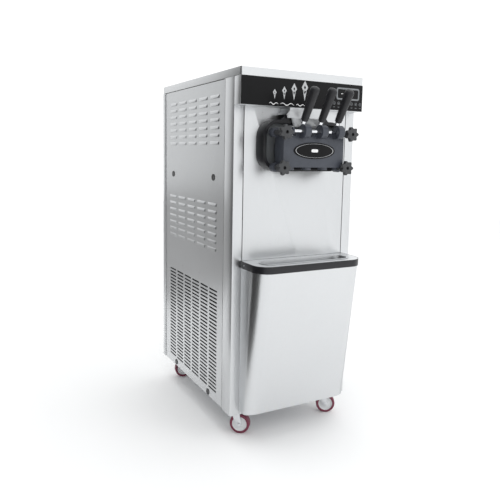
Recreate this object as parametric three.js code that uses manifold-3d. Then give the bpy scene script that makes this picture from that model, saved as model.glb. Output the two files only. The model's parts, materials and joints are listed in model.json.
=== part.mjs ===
// Floor-standing soft serve machine with three handles. Millimetres, +Z up, the front faces -Y.
// While it is built, y = 0 is the front of the control panel and z = 0 is the floor.
import * as THREE from 'three';
import { mergeVertices } from 'three/addons/utils/BufferGeometryUtils.js';
import Module from 'manifold-3d';

const wasm = await Module();
wasm.setup();

// ---- driving dimensions -------------------------------------------------------------------
const WIDTH = 480;
const DEPTH = 715;
const HEIGHT = 1260;
const GAP = 0.3; // between pieces that touch
const SHEET = 2; // brushed sheet steel

const HALF = WIDTH / 2;
const RIM_BOTTOM = HEIGHT - 26.3; // underside of the top cover
const FASCIA_BOTTOM = 1143.5; // underside of the control box
const FRONT_Y = 45; // face of the front panel, behind the control box
const CABINET_BOTTOM = 97; // underside of the base tray
const POST_FACE = 35.3; // front post, width seen from the front
const POST_SIDE = 70; // front post, width seen from the side
const REAR_RETURN = 25;
const PANEL_INSET = 2.2; // side panels lie behind the posts, so that their louvres stay in the width
const INNER_HALF = HALF - PANEL_INSET - SHEET - GAP; // room between the side panels
const DECK_Z = 930; // underside of the equipment deck
const DECK_THICK = 4;

// dispensing head
const FLAVOUR_PITCH = 65; // between the three handles
const HEAD_CENTRES = [-FLAVOUR_PITCH, 0, FLAVOUR_PITCH];
const BLOCK_HALF = 117;
const BLOCK_BOTTOM = 950;
const BLOCK_TOP = 1062;
const BLOCK_FRONT = -62;
const BLOCK_BACK = -8;
const BORE_SHIFT = -15; // piston bore from the middle of its handle
const BORE_Y = -38;
const BORE_R = 12;
const PISTON_R = 11.5;
const PIVOT = { y: -78, z: 1065 };
const PIN_R = 5;
const END_LUG = [-100, -94.5]; // the lug that holds the pin's free end, along x
const LEAN = THREE.MathUtils.degToRad(31); // handles lean forward from upright
const GRIP_START = 38; // from the pivot to the foot of the grip
const GRIP_LENGTH = 112;
const STEM_IN_GRIP = 70;
const COLLAR_Z = 1019;
const COLLAR = { width: 316, height: 166, radius: 55, wall: 10, front: -6 };
const FLANGE_FRONT = 14;
const STUD_R = 4;
const EAR_R = 15;
const EAR_FRONT = -30;
const KNOBS = {
  knob_top_left: { x: -127, z: 1060, front: -98 },
  knob_top_right: { x: 127, z: 1060, front: -98 },
  knob_bottom_left: { x: -123, z: 949, front: -82 },
  knob_bottom_right: { x: 123, z: 949, front: -82 },
};
const KNOB_HEAD = 14; // thickness of the star
const KNOB_REACH = 21.2; // mean radius of the star

// freezing side
const CYLINDER_X = 62;
const CYLINDER_Z = 1003;
const BARREL = { outer: 52, inner: 42, start: 20.4, end: 430 };
const HOPPER = { x0: 16, x1: 198, y0: 150, y1: 560, z0: 1080, top: 1238.3 };
const FEED_Y = 200;
const SHAFT_R = 7; // beater shafts
const DRIVE_Y = { start: 528, pulley: 540, end: 562 };
const BIG_PULLEY = { r: 70, z: 1000 };
const MOTOR_PULLEY = { r: 28, z: 780 };

// bin
const BIN = { half: 206, bottom: 112, top: 631.4, frontTop: -84, frontBottom: -8, radius: 50, wall: 3 };
const BIN_BREAK = 613; // where the bin's taper starts, and the bottom of its rim
const BIN_RIM_TOP = 637;
const SLOT = { width: 340, depth: 65, y: -26 };
const TRAY_FLOOR = 598;

// casters
const WHEEL = { r: 36, width: 26, bore: 4.5 };
const CASTER_TRAIL = 20; // how far the axle trails behind the swivel
// The swivel's place, and the direction in which the wheel trails at rest, in degrees from +X.
const CASTERS = {
  front_left: { x: -186, y: 113, turn: -39 },
  front_right: { x: 186, y: 113, turn: -31 },
  rear_left: { x: -186, y: 672, turn: -12 },
  rear_right: { x: 186, y: 672, turn: -25 },
};
const SWIVEL_R = 8;

// ---- finishes -----------------------------------------------------------------------------
const finish = (color, roughness, metalness = 0) =>
  () => new THREE.MeshStandardMaterial({ color, roughness, metalness });
const cabinetSteel = finish(0xc6c8ca, 0.35, 1);
const black = finish(0x232325, 0.45);
const darkGrey = finish(0x4b4e58, 0.4);
const steel = finish(0xb9bcc0, 0.3, 1);
const zinc = finish(0x9a9ea3, 0.5, 1);
const whitePlastic = finish(0xf2f2ee, 0.35);
const glass = finish(0x141416, 0.08);
const tyre = finish(0x6b2440, 0.6);
const copper = finish(0x8a6a4c, 0.45, 0.8);

// ---- solid helpers ------------------------------------------------------------------------
function solid(geometry) {
  const bare = geometry.clone();
  bare.deleteAttribute('normal');
  bare.deleteAttribute('uv');
  const merged = mergeVertices(bare);
  return new wasm.Manifold(new wasm.Mesh({
    numProp: 3,
    vertProperties: new Float32Array(merged.attributes.position.array),
    triVerts: new Uint32Array(merged.index.array),
  }));
}

function geometryOf(body) {
  const mesh = body.getMesh();
  const geometry = new THREE.BufferGeometry();
  geometry.setAttribute('position', new THREE.BufferAttribute(new Float32Array(mesh.vertProperties), 3));
  geometry.setIndex(new THREE.BufferAttribute(new Uint32Array(mesh.triVerts), 1));
  const flat = geometry.toNonIndexed();
  flat.computeVertexNormals();
  return flat;
}

const join = (bodies) => bodies.reduce((whole, body) => whole.add(body));
const cut = (body, tools) => tools.reduce((rest, tool) => rest.subtract(tool), body);

function box(x0, x1, y0, y1, z0, z1) {
  const geometry = new THREE.BoxGeometry(x1 - x0, y1 - y0, z1 - z0);
  geometry.translate((x0 + x1) / 2, (y0 + y1) / 2, (z0 + z1) / 2);
  return solid(geometry);
}

// A round bar between two points.
function rod(from, to, radius, sides = 20) {
  const start = new THREE.Vector3(...from);
  const run = new THREE.Vector3(...to).sub(start);
  const geometry = new THREE.CylinderGeometry(radius, radius, run.length(), sides);
  geometry.translate(0, run.length() / 2, 0);
  geometry.applyQuaternion(turnFromY(run));
  geometry.translate(start.x, start.y, start.z);
  return solid(geometry);
}

const rodX = (x0, x1, y, z, radius, sides) => rod([x0, y, z], [x1, y, z], radius, sides);
const rodY = (y0, y1, x, z, radius, sides) => rod([x, y0, z], [x, y1, z], radius, sides);
const rodZ = (z0, z1, x, y, radius, sides) => rod([x, y, z0], [x, y, z1], radius, sides);

function turnFromY(direction) {
  const unit = direction.clone().normalize();
  return new THREE.Quaternion().setFromUnitVectors(new THREE.Vector3(0, 1, 0), unit);
}

// A turned piece: the profile is [radius, distance] along the axis that starts at origin.
function turned(profile, origin, direction, sides = 24) {
  const points = profile.map(([radius, along]) => new THREE.Vector2(radius, along));
  const geometry = new THREE.LatheGeometry(points, sides);
  geometry.applyQuaternion(turnFromY(new THREE.Vector3(...direction)));
  geometry.translate(...origin);
  const body = solid(geometry);
  return body.volume() < 0 ? turned([...profile].reverse(), origin, direction, sides) : body;
}

function roundedRect(width, height, radius, centreX = 0, centreY = 0) {
  const w = width / 2 - radius;
  const h = height / 2 - radius;
  const shape = new THREE.Shape();
  shape.absarc(centreX + w, centreY + h, radius, 0, Math.PI / 2);
  shape.absarc(centreX - w, centreY + h, radius, Math.PI / 2, Math.PI);
  shape.absarc(centreX - w, centreY - h, radius, Math.PI, 1.5 * Math.PI);
  shape.absarc(centreX + w, centreY - h, radius, 1.5 * Math.PI, 2 * Math.PI);
  return shape;
}

function polygon(points) {
  return new THREE.Shape(points.map(([a, b]) => new THREE.Vector2(a, b)));
}

function extruded(shape, depth, curveSegments) {
  return new THREE.ExtrudeGeometry(shape, { depth, bevelEnabled: false, curveSegments });
}

// The shape lies in XY.
function extrudeZ(shape, z0, z1, curveSegments = 6) {
  return solid(extruded(shape, z1 - z0, curveSegments).translate(0, 0, z0));
}

// The shape lies in XZ.
function extrudeY(shape, y0, y1, curveSegments = 6) {
  return solid(extruded(shape, y1 - y0, curveSegments).rotateX(Math.PI / 2).translate(0, y1, 0));
}

// The shape lies in YZ.
function extrudeX(shape, x0, x1, curveSegments = 6) {
  const basis = new THREE.Matrix4().makeBasis(
    new THREE.Vector3(0, 1, 0), new THREE.Vector3(0, 0, 1), new THREE.Vector3(1, 0, 0));
  return solid(extruded(shape, x1 - x0, curveSegments).applyMatrix4(basis).translate(x0, 0, 0));
}

// A solid through rings of equal point count, lowest first, each counter-clockwise from above.
function loft(rings) {
  const count = rings[0].length;
  const positions = rings.flat(2);
  const index = [];
  for (let level = 0; level < rings.length - 1; level++) {
    for (let i = 0; i < count; i++) {
      const a = level * count + i;
      const b = level * count + ((i + 1) % count);
      index.push(a, b, b + count, a, b + count, a + count);
    }
  }
  const last = (rings.length - 1) * count;
  for (let i = 1; i < count - 1; i++) {
    index.push(0, i + 1, i);
    index.push(last, last + i, last + i + 1);
  }
  const geometry = new THREE.BufferGeometry();
  geometry.setAttribute('position', new THREE.Float32BufferAttribute(positions, 3));
  geometry.setIndex(index);
  return solid(geometry);
}

const machine = new THREE.Group();

function place(name, body, material) {
  const mesh = new THREE.Mesh(geometryOf(body), material());
  mesh.name = name;
  machine.add(mesh);
}

// Left and right copies of a piece that is made for the right side.
function placePair(name, body, material) {
  place(`${name}_right`, body, material);
  place(`${name}_left`, body.mirror([1, 0, 0]), material);
}

// ---- cabinet ------------------------------------------------------------------------------
function baseTray() {
  const pan = cut(
    box(-INNER_HALF, INNER_HALF, FRONT_Y + SHEET + GAP, DEPTH - SHEET - GAP,
      CABINET_BOTTOM, CABINET_BOTTOM + 20),
    [box(-INNER_HALF + 3, INNER_HALF - 3, FRONT_Y + 5, DEPTH - 5, CABINET_BOTTOM + 3, CABINET_BOTTOM + 21)]);
  const pads = Object.values(CASTERS).flatMap(({ x, y }) => [
    box(x - 30, x + 30, y - 38, y + 38, CABINET_BOTTOM - 4, CABINET_BOTTOM + 1),
    rodZ(CABINET_BOTTOM - 12, CABINET_BOTTOM, x, y, SWIVEL_R, 16),
  ]);
  return join([pan, ...pads]);
}

function frontPost() {
  return extrudeZ(polygon([
    [HALF, FRONT_Y], [HALF, FRONT_Y + POST_SIDE], [HALF - SHEET, FRONT_Y + POST_SIDE],
    [HALF - SHEET, FRONT_Y + SHEET], [HALF - POST_FACE, FRONT_Y + SHEET], [HALF - POST_FACE, FRONT_Y],
  ]), CABINET_BOTTOM, RIM_BOTTOM - GAP);
}

// Rows and columns of vents, given as the area that they fill in the panel's own plane.
function ventBoxes({ x0, x1, y0, y1, z0, z1, columns, rows, land, height }) {
  const alongY = x1 - x0 < y1 - y0;
  const start = alongY ? y0 : x0;
  const pitch = ((alongY ? y1 - y0 : x1 - x0) + land) / columns;
  const vents = [];
  for (let row = 0; row < rows; row++) {
    const z = z0 + ((z1 - z0 - height) * row) / (rows - 1);
    for (let column = 0; column < columns; column++) {
      const from = start + column * pitch;
      const to = from + pitch - land;
      vents.push(alongY ? box(x0, x1, from, to, z, z + height) : box(from, to, y0, y1, z, z + height));
    }
  }
  return vents;
}

function sidePanel() {
  const outer = HALF - PANEL_INSET;
  const sheet = box(outer - SHEET, outer, FRONT_Y + POST_SIDE + GAP, DEPTH - REAR_RETURN - GAP,
    CABINET_BOTTOM, RIM_BOTTOM - GAP);
  const through = { x0: outer - SHEET - 1, x1: HALF + 1 };
  return cut(sheet, [
    ...ventBoxes({ ...through, y0: 158, y1: 636, z0: 1018, z1: 1174, columns: 1, rows: 7, land: 0, height: 9 }),
    ...ventBoxes({ ...through, y0: 173, y1: 640, z0: 646, z1: 804, columns: 1, rows: 7, land: 0, height: 9 }),
    ...ventBoxes({ ...through, y0: 163, y1: 633, z0: 130, z1: 503, columns: 2, rows: 14, land: 12, height: 9 }),
  ]);
}

function rearPanel() {
  const inner = DEPTH - SHEET;
  const skin = extrudeZ(polygon([
    [-HALF, DEPTH], [-HALF, DEPTH - REAR_RETURN], [-HALF + SHEET, DEPTH - REAR_RETURN],
    [-HALF + SHEET, inner], [HALF - SHEET, inner], [HALF - SHEET, DEPTH - REAR_RETURN],
    [HALF, DEPTH - REAR_RETURN], [HALF, DEPTH],
  ]), CABINET_BOTTOM, RIM_BOTTOM - GAP);
  const through = { x0: -170, x1: 170, y0: inner - 1, y1: DEPTH + 1, columns: 2, land: 40, height: 9 };
  return cut(skin, [
    ...ventBoxes({ ...through, z0: 180, z1: 420, rows: 6 }),
    ...ventBoxes({ ...through, z0: 700, z1: 840, rows: 4 }),
  ]);
}

function frontPanel() {
  const side = HALF - POST_FACE - GAP;
  const sheet = box(-side, side, FRONT_Y, FRONT_Y + SHEET, CABINET_BOTTOM, RIM_BOTTOM - GAP);
  const opening = roundedRect(2 * (CYLINDER_X + BARREL.outer + 2), 2 * (BARREL.outer + 2), 50, 0, CYLINDER_Z);
  return cut(sheet, [extrudeY(opening, FRONT_Y - 1, FRONT_Y + SHEET + 1)]);
}

function equipmentDeck() {
  const top = DECK_Z + DECK_THICK;
  const plate = box(-INNER_HALF, INNER_HALF, FRONT_Y + SHEET + GAP, DEPTH - SHEET - GAP,
    DECK_Z, top);
  const saddles = [110, 370].map((y) => box(-112, 112, y, y + 30, top - 1, top + 31));
  const barrels = [-1, 1].map((side) =>
    rodY(80, 440, side * CYLINDER_X, CYLINDER_Z, BARREL.outer + 1, 24));
  const beltSlot = box(-82, 82, DRIVE_Y.pulley - 6, DRIVE_Y.end + 8, DECK_Z - 1, top + 1);
  return cut(join([plate, ...saddles]), [...barrels, beltSlot]);
}

function topCover() {
  const body = extrudeZ(roundedRect(WIDTH, DEPTH, 6, 0, DEPTH / 2), RIM_BOTTOM, HEIGHT, 3);
  const pocket = box(-HALF + 12, HALF - 12, 12, DEPTH - 12, RIM_BOTTOM + 4, HEIGHT + 1);
  const mouths = [-1, 1].map((side) => {
    const xs = [side * (HOPPER.x0 - 0.5), side * (HOPPER.x1 + 0.5)].sort((a, b) => a - b);
    return box(xs[0], xs[1], HOPPER.y0 - 0.5, HOPPER.y1 + 0.5, RIM_BOTTOM - 1, HEIGHT);
  });
  return cut(body, [pocket, ...mouths]);
}

place('base_tray', baseTray(), zinc);
placePair('front_post', frontPost(), cabinetSteel);
placePair('side_panel', sidePanel(), cabinetSteel);
place('rear_panel', rearPanel(), cabinetSteel);
place('front_panel', frontPanel(), cabinetSteel);
place('equipment_deck', equipmentDeck(), zinc);
place('top_cover', topCover(), cabinetSteel);

// ---- control box --------------------------------------------------------------------------
function controlBox() {
  const face = SHEET + GAP;
  const back = FRONT_Y - GAP;
  const top = RIM_BOTTOM - GAP;
  return cut(box(-HALF, HALF, face, back, FASCIA_BOTTOM, top),
    [box(-HALF + SHEET, HALF - SHEET, face + SHEET, back + 1, FASCIA_BOTTOM + SHEET, top - SHEET)]);
}

place('control_box', controlBox(), cabinetSteel);
place('control_panel', box(-HALF + 1, HALF - 1, 0, SHEET, FASCIA_BOTTOM + 1, RIM_BOTTOM - 1), glass);
place('electrical_box', box(-150, 150, FRONT_Y + SHEET + GAP, 130, 1115, 1215), zinc);

// ---- hoppers, cylinders and beaters -------------------------------------------------------
function hopper() {
  const { x0, x1, y0, y1, z0, top } = HOPPER;
  const wall = SHEET;
  const body = join([
    box(x0, x1, y0, y1, z0, top),
    box(x0 - 6, x1 + 6, y0 - 6, y1 + 6, top - 0.1, top + 1.7),
    rodZ(CYLINDER_Z + BARREL.outer + 2 * GAP, z0 + 1, CYLINDER_X, FEED_Y, 12),
  ]);
  return cut(body, [
    box(x0 + wall, x1 - wall, y0 + wall, y1 - wall, z0 + 3, top + 5),
    rodZ(CYLINDER_Z, z0 + 5, CYLINDER_X, FEED_Y, 8),
  ]);
}

function hopperLid() {
  const { x0, x1, y0, y1, top } = HOPPER;
  const bottom = top + 2.1;
  const middleX = (x0 + x1) / 2;
  const middleY = (y0 + y1) / 2;
  const shell = cut(box(x0 - 8, x1 + 8, y0 - 8, y1 + 8, bottom, bottom + 10),
    [box(x0 - 5, x1 + 5, y0 - 5, y1 + 5, bottom - 1, bottom + 7)]);
  const handle = box(middleX - 50, middleX + 50, middleY - 9, middleY + 9, bottom + 9, bottom + 17);
  return join([shell, handle]);
}

function airTube() {
  const tube = rodZ(CYLINDER_Z + BARREL.outer + 8, 1190, CYLINDER_X, FEED_Y, 7.5, 16);
  return cut(tube, [rodZ(CYLINDER_Z, 1200, CYLINDER_X, FEED_Y, 4, 12)]);
}

function freezingCylinder() {
  const { outer, inner, start, end } = BARREL;
  const drum = rodY(start, end, CYLINDER_X, CYLINDER_Z, outer, 24);
  return cut(drum, [
    rodY(start - 1, end - 6, CYLINDER_X, CYLINDER_Z, inner, 24),
    rodY(end - 10, end + 1, CYLINDER_X, CYLINDER_Z, SHAFT_R + 0.6),
    rodZ(CYLINDER_Z, CYLINDER_Z + outer + 1, CYLINDER_X, FEED_Y, 8),
  ]);
}

// A two-start scraper: its cross-section is a hub with two blades, twisted along the length.
function beater() {
  const length = BARREL.end - BARREL.start - 24;
  const reach = BARREL.inner - 3;
  const half = [[reach, -2.5], [reach, 2.5], [10, 2.5], [6, 9], [-6, 9], [-10, 2.5]];
  const section = polygon([...half, ...half.map(([a, b]) => [-a, -b])]);
  const blades = new THREE.ExtrudeGeometry(section, { depth: length, steps: 14, bevelEnabled: false });
  blades.rotateX(Math.PI / 2);
  const axis = new THREE.Vector3(0, 1, 0);
  const point = new THREE.Vector3();
  const position = blades.attributes.position;
  for (let i = 0; i < position.count; i++) {
    point.fromBufferAttribute(position, i);
    point.applyAxisAngle(axis, (point.y / length) * 3 * Math.PI);
    position.setXYZ(i, point.x, point.y, point.z);
  }
  const rear = BARREL.end - 12;
  blades.translate(CYLINDER_X, rear, CYLINDER_Z);
  return join([
    solid(blades),
    rodY(BARREL.start + 6, BARREL.start + 16, CYLINDER_X, CYLINDER_Z, SHAFT_R, 12),
    rodY(rear - 4, 455, CYLINDER_X, CYLINDER_Z, SHAFT_R, 12),
  ]);
}

placePair('hopper', hopper(), steel);
placePair('hopper_lid', hopperLid(), steel);
placePair('air_tube', airTube(), whitePlastic);
placePair('freezing_cylinder', freezingCylinder(), steel);
placePair('beater', beater(), whitePlastic);

// ---- drive and cooling --------------------------------------------------------------------
function gearbox() {
  const body = box(-95, 95, 446, DRIVE_Y.start, DECK_Z + DECK_THICK + GAP, 1052);
  const sockets = [-1, 1].map((side) => rodY(445, 458, side * CYLINDER_X, CYLINDER_Z, SHAFT_R + 0.6));
  return cut(body, sockets).add(rodY(DRIVE_Y.start - 1, DRIVE_Y.end + 4, 0, BIG_PULLEY.z, 8, 16));
}

function pulley({ r, z }) {
  const length = DRIVE_Y.end - DRIVE_Y.pulley;
  return turned([[8.4, 0], [r, 0], [r, length], [8.4, length], [8.4, 0]],
    [0, DRIVE_Y.pulley, z], [0, 1, 0], 24);
}

// The outline of a belt run round both pulleys, at the given distance outside them.
function beltOutline(offset) {
  const spread = Math.asin((BIG_PULLEY.r - MOTOR_PULLEY.r) / (BIG_PULLEY.z - MOTOR_PULLEY.z));
  const shape = new THREE.Shape();
  shape.absarc(0, BIG_PULLEY.z, BIG_PULLEY.r + offset, -spread, Math.PI + spread);
  shape.absarc(0, MOTOR_PULLEY.z, MOTOR_PULLEY.r + offset, Math.PI + spread, 2 * Math.PI - spread);
  return shape;
}

function driveBelt() {
  const from = DRIVE_Y.pulley + 2;
  const to = DRIVE_Y.end - 2;
  return cut(extrudeY(beltOutline(7), from, to, 12), [extrudeY(beltOutline(2.2), from - 1, to + 1, 12)]);
}

function motor() {
  return join([
    rodY(380, DRIVE_Y.start, 0, MOTOR_PULLEY.z, 58, 28),
    rodY(DRIVE_Y.start - 1, DRIVE_Y.end + 4, 0, MOTOR_PULLEY.z, 8, 16),
    box(-24, 24, 400, 500, MOTOR_PULLEY.z + 50, DECK_Z - GAP),
  ]);
}

function compressor() {
  const floor = CABINET_BOTTOM + 3 + GAP;
  const pot = turned([[0, 10], [78, 10], [85, 30], [85, 190], [60, 222], [0, 232]],
    [75, 560, floor], [0, 0, 1], 20);
  return pot.add(box(-5, 155, 480, 640, floor, floor + 14));
}

const FAN = { y: 370, z: 312, r: 145 };

function condenser() {
  const floor = CABINET_BOTTOM + 3 + GAP;
  const core = box(-228, -188, 180, 560, floor, 505);
  const shroud = cut(box(-189, -148, 180, 560, floor, 505), [rodX(-188, -147, FAN.y, FAN.z, FAN.r + 7, 28)]);
  const arms = [0, 1, 2].map((step) => {
    const angle = Math.PI / 2 + (step * 2 * Math.PI) / 3;
    const reach = FAN.r + 12;
    return rod([-151, FAN.y, FAN.z],
      [-151, FAN.y + reach * Math.cos(angle), FAN.z + reach * Math.sin(angle)], 3, 8);
  });
  const fanMotor = rodX(-153, -126, FAN.y, FAN.z, 24);
  const shaft = rodX(-172, -150, FAN.y, FAN.z, 4, 12);
  return join([core, shroud, ...arms, fanMotor, shaft]);
}

function fan() {
  const hub = rodX(-177, -158, FAN.y, FAN.z, 26);
  const blades = [0, 1, 2, 3, 4].map((step) => {
    const blade = new THREE.BoxGeometry(2.5, 62, FAN.r - 22);
    blade.rotateZ(0.32);
    blade.translate(0, 0, 22 + (FAN.r - 22) / 2);
    blade.rotateX((step * 2 * Math.PI) / 5);
    blade.translate(-167.5, FAN.y, FAN.z);
    return solid(blade);
  });
  return cut(join([hub, ...blades]), [rodX(-180, -150, FAN.y, FAN.z, 4.5, 12)]);
}

place('gearbox', gearbox(), zinc);
place('gearbox_pulley', pulley(BIG_PULLEY), zinc);
place('motor', motor(), darkGrey);
place('motor_pulley', pulley(MOTOR_PULLEY), zinc);
place('drive_belt', driveBelt(), black);
place('compressor', compressor(), black);
place('condenser', condenser(), copper);
place('fan', fan(), black);

// ---- dispensing head ----------------------------------------------------------------------
function collar() {
  const { width, height, radius, wall, front } = COLLAR;
  const back = FRONT_Y - GAP;
  const outside = extrudeY(roundedRect(width, height, radius, 0, COLLAR_Z), front, back, 6);
  const inside = extrudeY(
    roundedRect(width - 2 * wall, height - 2 * wall, radius - wall, 0, COLLAR_Z), front - 1, back + 1, 6);
  const guard = extrudeY(polygon([[-97, 1095], [97, 1095], [77, 1120], [-77, 1120]]), front + 2, front + 6);
  const studHoles = Object.values(KNOBS).map(({ x, z }) => rodY(front - 1, back + 1, x, z, STUD_R + 0.7, 12));
  return cut(outside.add(guard.subtract(inside)), [inside, ...studHoles]);
}

function cylinderFlange() {
  const { width, height, radius, wall } = COLLAR;
  const trim = 2 * (wall + GAP);
  const plate = extrudeY(
    roundedRect(width - trim, height - trim, radius - wall, 0, COLLAR_Z), FLANGE_FRONT, FLANGE_FRONT + 6, 6);
  const bores = [-1, 1].map((side) =>
    rodY(FLANGE_FRONT - 1, FLANGE_FRONT + 7, side * CYLINDER_X, CYLINDER_Z, BARREL.inner, 24));
  const studs = Object.values(KNOBS).map(({ x, z, front }) =>
    rodY(front + KNOB_HEAD - 1, FLANGE_FRONT + 5, x, z, STUD_R, 8));
  return join([cut(plate, bores), ...studs]);
}

function switchCover() {
  const top = FASCIA_BOTTOM - 2;
  const upper = extrudeY(polygon([
    [-76, 1108], [76, 1108], [79, 1119], [67, 1134], [67, top], [-67, top], [-67, 1134], [-79, 1119],
  ]), -14, -11);
  const lower = extrudeY(polygon([[-52, 1080], [52, 1080], [62, 1118], [-62, 1118]]), -11.5, -8.5);
  const shelf = box(-67, 67, -14, FRONT_Y - GAP, top - 2, top);
  const side = extrudeY(polygon([
    [76, 1120.4], [78, 1120.4], [67, 1134.4], [67, top], [65, top], [65, 1133.8],
  ]), -11.5, FRONT_Y - GAP);
  return join([upper, lower, shelf, side, side.mirror([1, 0, 0])]);
}

// Pieces of the block, all joined: body, boss, ears for the knobs, lugs for the pin, nozzles.
function blockBody() {
  const middle = (BLOCK_TOP + BLOCK_BOTTOM) / 2;
  const body = extrudeY(
    roundedRect(2 * BLOCK_HALF, BLOCK_TOP - BLOCK_BOTTOM, 16, 0, middle), BLOCK_FRONT, BLOCK_BACK);
  const boss = extrudeY(roundedRect(216, 98, 40, 0, CYLINDER_Z), BLOCK_BACK - 1, FLANGE_FRONT - GAP);
  const ears = Object.values(KNOBS).flatMap(({ x, z }) => {
    const inward = Math.sign(x) * (BLOCK_HALF - 16);
    const upright = Math.sign(z - middle) * ((BLOCK_TOP - BLOCK_BOTTOM) / 2 - 16) + middle;
    return [
      rodY(EAR_FRONT, BLOCK_BACK, x, z, EAR_R, 14),
      box(Math.min(x, inward), Math.max(x, inward), EAR_FRONT, BLOCK_BACK,
        Math.min(z, upright), Math.max(z, upright)),
    ];
  });
  const lugs = HEAD_CENTRES.flatMap((centre) => [
    rodX(centre + 6, centre + 28, PIVOT.y, PIVOT.z, 22, 18),
    box(centre + 6, centre + 28, PIVOT.y, BLOCK_FRONT + 12, PIVOT.z - 22, PIVOT.z + 10),
  ]);
  const endLug = [
    rodX(END_LUG[0], END_LUG[1], PIVOT.y, PIVOT.z, 12, 12),
    box(END_LUG[0], END_LUG[1], PIVOT.y, BLOCK_FRONT + 12, PIVOT.z - 12, PIVOT.z + 6),
  ];
  const nozzles = HEAD_CENTRES.map((centre) =>
    rodZ(BLOCK_BOTTOM - 9, BLOCK_BOTTOM + 2, centre + BORE_SHIFT, BORE_Y, 16, 12));
  return join([body, boss, ...ears, ...lugs, ...endLug, ...nozzles]);
}

function dispensingBlock() {
  const bores = HEAD_CENTRES.map((centre) =>
    rodZ(BLOCK_BOTTOM - 20, BLOCK_TOP + 20, centre + BORE_SHIFT, BORE_Y, BORE_R, 12));
  const fingerSlots = HEAD_CENTRES.map((centre) =>
    box(centre + BORE_SHIFT - 7, centre + BORE_SHIFT + 7, BLOCK_FRONT - 1, BORE_Y, BLOCK_TOP - 12, BLOCK_TOP + 9));
  const feedPorts = HEAD_CENTRES.map((centre) =>
    rodY(BORE_Y, FLANGE_FRONT, centre + BORE_SHIFT, 975, 7, 8));
  const mixGallery = box(-34, 34, FLANGE_FRONT - 9, FLANGE_FRONT, 968, 982);
  const pinBore = rodX(-120, 120, PIVOT.y, PIVOT.z, PIN_R + 0.5, 12);
  const studHoles = Object.values(KNOBS).map(({ x, z }) => rodY(-60, 0, x, z, STUD_R + 0.5, 8));
  return cut(blockBody(), [...bores, ...fingerSlots, ...feedPorts, mixGallery, pinBore, ...studHoles]);
}

function piston(centre) {
  const x = centre + BORE_SHIFT;
  const pocket = box(x - 13, x + 13, BORE_Y - 13, BORE_Y + 2.5, 1054, 1073);
  return cut(rodZ(BLOCK_BOTTOM, 1080, x, BORE_Y, PISTON_R, 12), [pocket]);
}

const HANDLE_AXIS = new THREE.Vector3(0, -Math.sin(LEAN), Math.cos(LEAN));

function alongHandle(x, distance) {
  const point = HANDLE_AXIS.clone().multiplyScalar(distance);
  return [x, PIVOT.y + point.y, PIVOT.z + point.z];
}

function lever(centre) {
  const stemX = centre - 1;
  const fingerX = centre + BORE_SHIFT;
  const body = join([
    rodX(centre - 20, centre + 3.5, PIVOT.y, PIVOT.z, 11, 24),
    rod(alongHandle(stemX, 4), alongHandle(stemX, GRIP_START + STEM_IN_GRIP), 5, 14),
    box(fingerX - 4, fingerX + 4, PIVOT.y, BORE_Y + 1, PIVOT.z - 4, PIVOT.z + 4),
  ]);
  return cut(body, [rodX(centre - 40, centre + 10, PIVOT.y, PIVOT.z, PIN_R + 0.5, 12)]);
}

function grip(centre) {
  const x = centre - 1;
  const outside = turned(
    [[0, 0], [10.5, 0], [12, 2], [15, GRIP_LENGTH - 14], [13.5, GRIP_LENGTH - 6], [8, GRIP_LENGTH - 1],
      [0, GRIP_LENGTH]],
    alongHandle(x, GRIP_START), HANDLE_AXIS.toArray(), 18);
  const socket = rod(alongHandle(x, GRIP_START - 1), alongHandle(x, GRIP_START + STEM_IN_GRIP + 1), 5.4, 14);
  return cut(outside, [socket]);
}

// A seven-lobed star with a long sleeve that presses on the block's ear.
function starKnob({ x, z, front }) {
  const star = new THREE.Shape();
  const steps = 35;
  for (let i = 0; i < steps; i++) {
    const angle = (i / steps) * 2 * Math.PI;
    const reach = KNOB_REACH + 3.2 * Math.cos(7 * angle);
    const spot = [x + reach * Math.cos(angle), z + reach * Math.sin(angle)];
    if (i === 0) star.moveTo(...spot);
    else star.lineTo(...spot);
  }
  const sleeveEnd = EAR_FRONT - GAP;
  const body = join([
    extrudeY(star, front, front + KNOB_HEAD),
    rodY(front + KNOB_HEAD - 1, sleeveEnd, x, z, 8.5, 18),
  ]);
  return cut(body, [
    rodY(front - 1, front + 9, x, z, 5.5, 14),
    rodY(front + KNOB_HEAD - 2, sleeveEnd + 1, x, z, STUD_R + 0.5, 14),
  ]);
}

function badgePlate() {
  const oval = new THREE.Shape().absellipse(0, 1004, 80, 26.5, 0, 2 * Math.PI);
  return extrudeY(oval, BLOCK_FRONT - 2.3, BLOCK_FRONT - GAP, 18);
}

place('collar', collar(), black);
place('cylinder_flange', cylinderFlange(), darkGrey);
place('switch_cover', switchCover(), steel);
place('dispensing_block', dispensingBlock(), darkGrey);
place('badge_plate', badgePlate(), black);
place('pivot_pin', rodX(END_LUG[0], 98, PIVOT.y, PIVOT.z, PIN_R, 12), steel);
HEAD_CENTRES.forEach((centre, index) => {
  place(`piston_${index + 1}`, piston(centre), whitePlastic);
  place(`lever_${index + 1}`, lever(centre), steel);
  place(`grip_${index + 1}`, grip(centre), black);
});
Object.entries(KNOBS).forEach(([name, spot]) => place(name, starKnob(spot), darkGrey));

// ---- bin ----------------------------------------------------------------------------------
// Ring of the bin's outline at one height: square at the rear, round at the front corners.
function binRing(half, rear, front, radius, z, steps = 6) {
  const ring = [[half, rear, z], [-half, rear, z]];
  for (let i = 0; i <= steps; i++) {
    const angle = Math.PI + (i / steps) * (Math.PI / 2);
    ring.push([-half + radius + radius * Math.cos(angle), front + radius + radius * Math.sin(angle), z]);
  }
  for (let i = 0; i <= steps; i++) {
    const angle = 1.5 * Math.PI + (i / steps) * (Math.PI / 2);
    ring.push([half - radius + radius * Math.cos(angle), front + radius + radius * Math.sin(angle), z]);
  }
  return ring;
}

const BIN_REAR = FRONT_Y - GAP;

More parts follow.
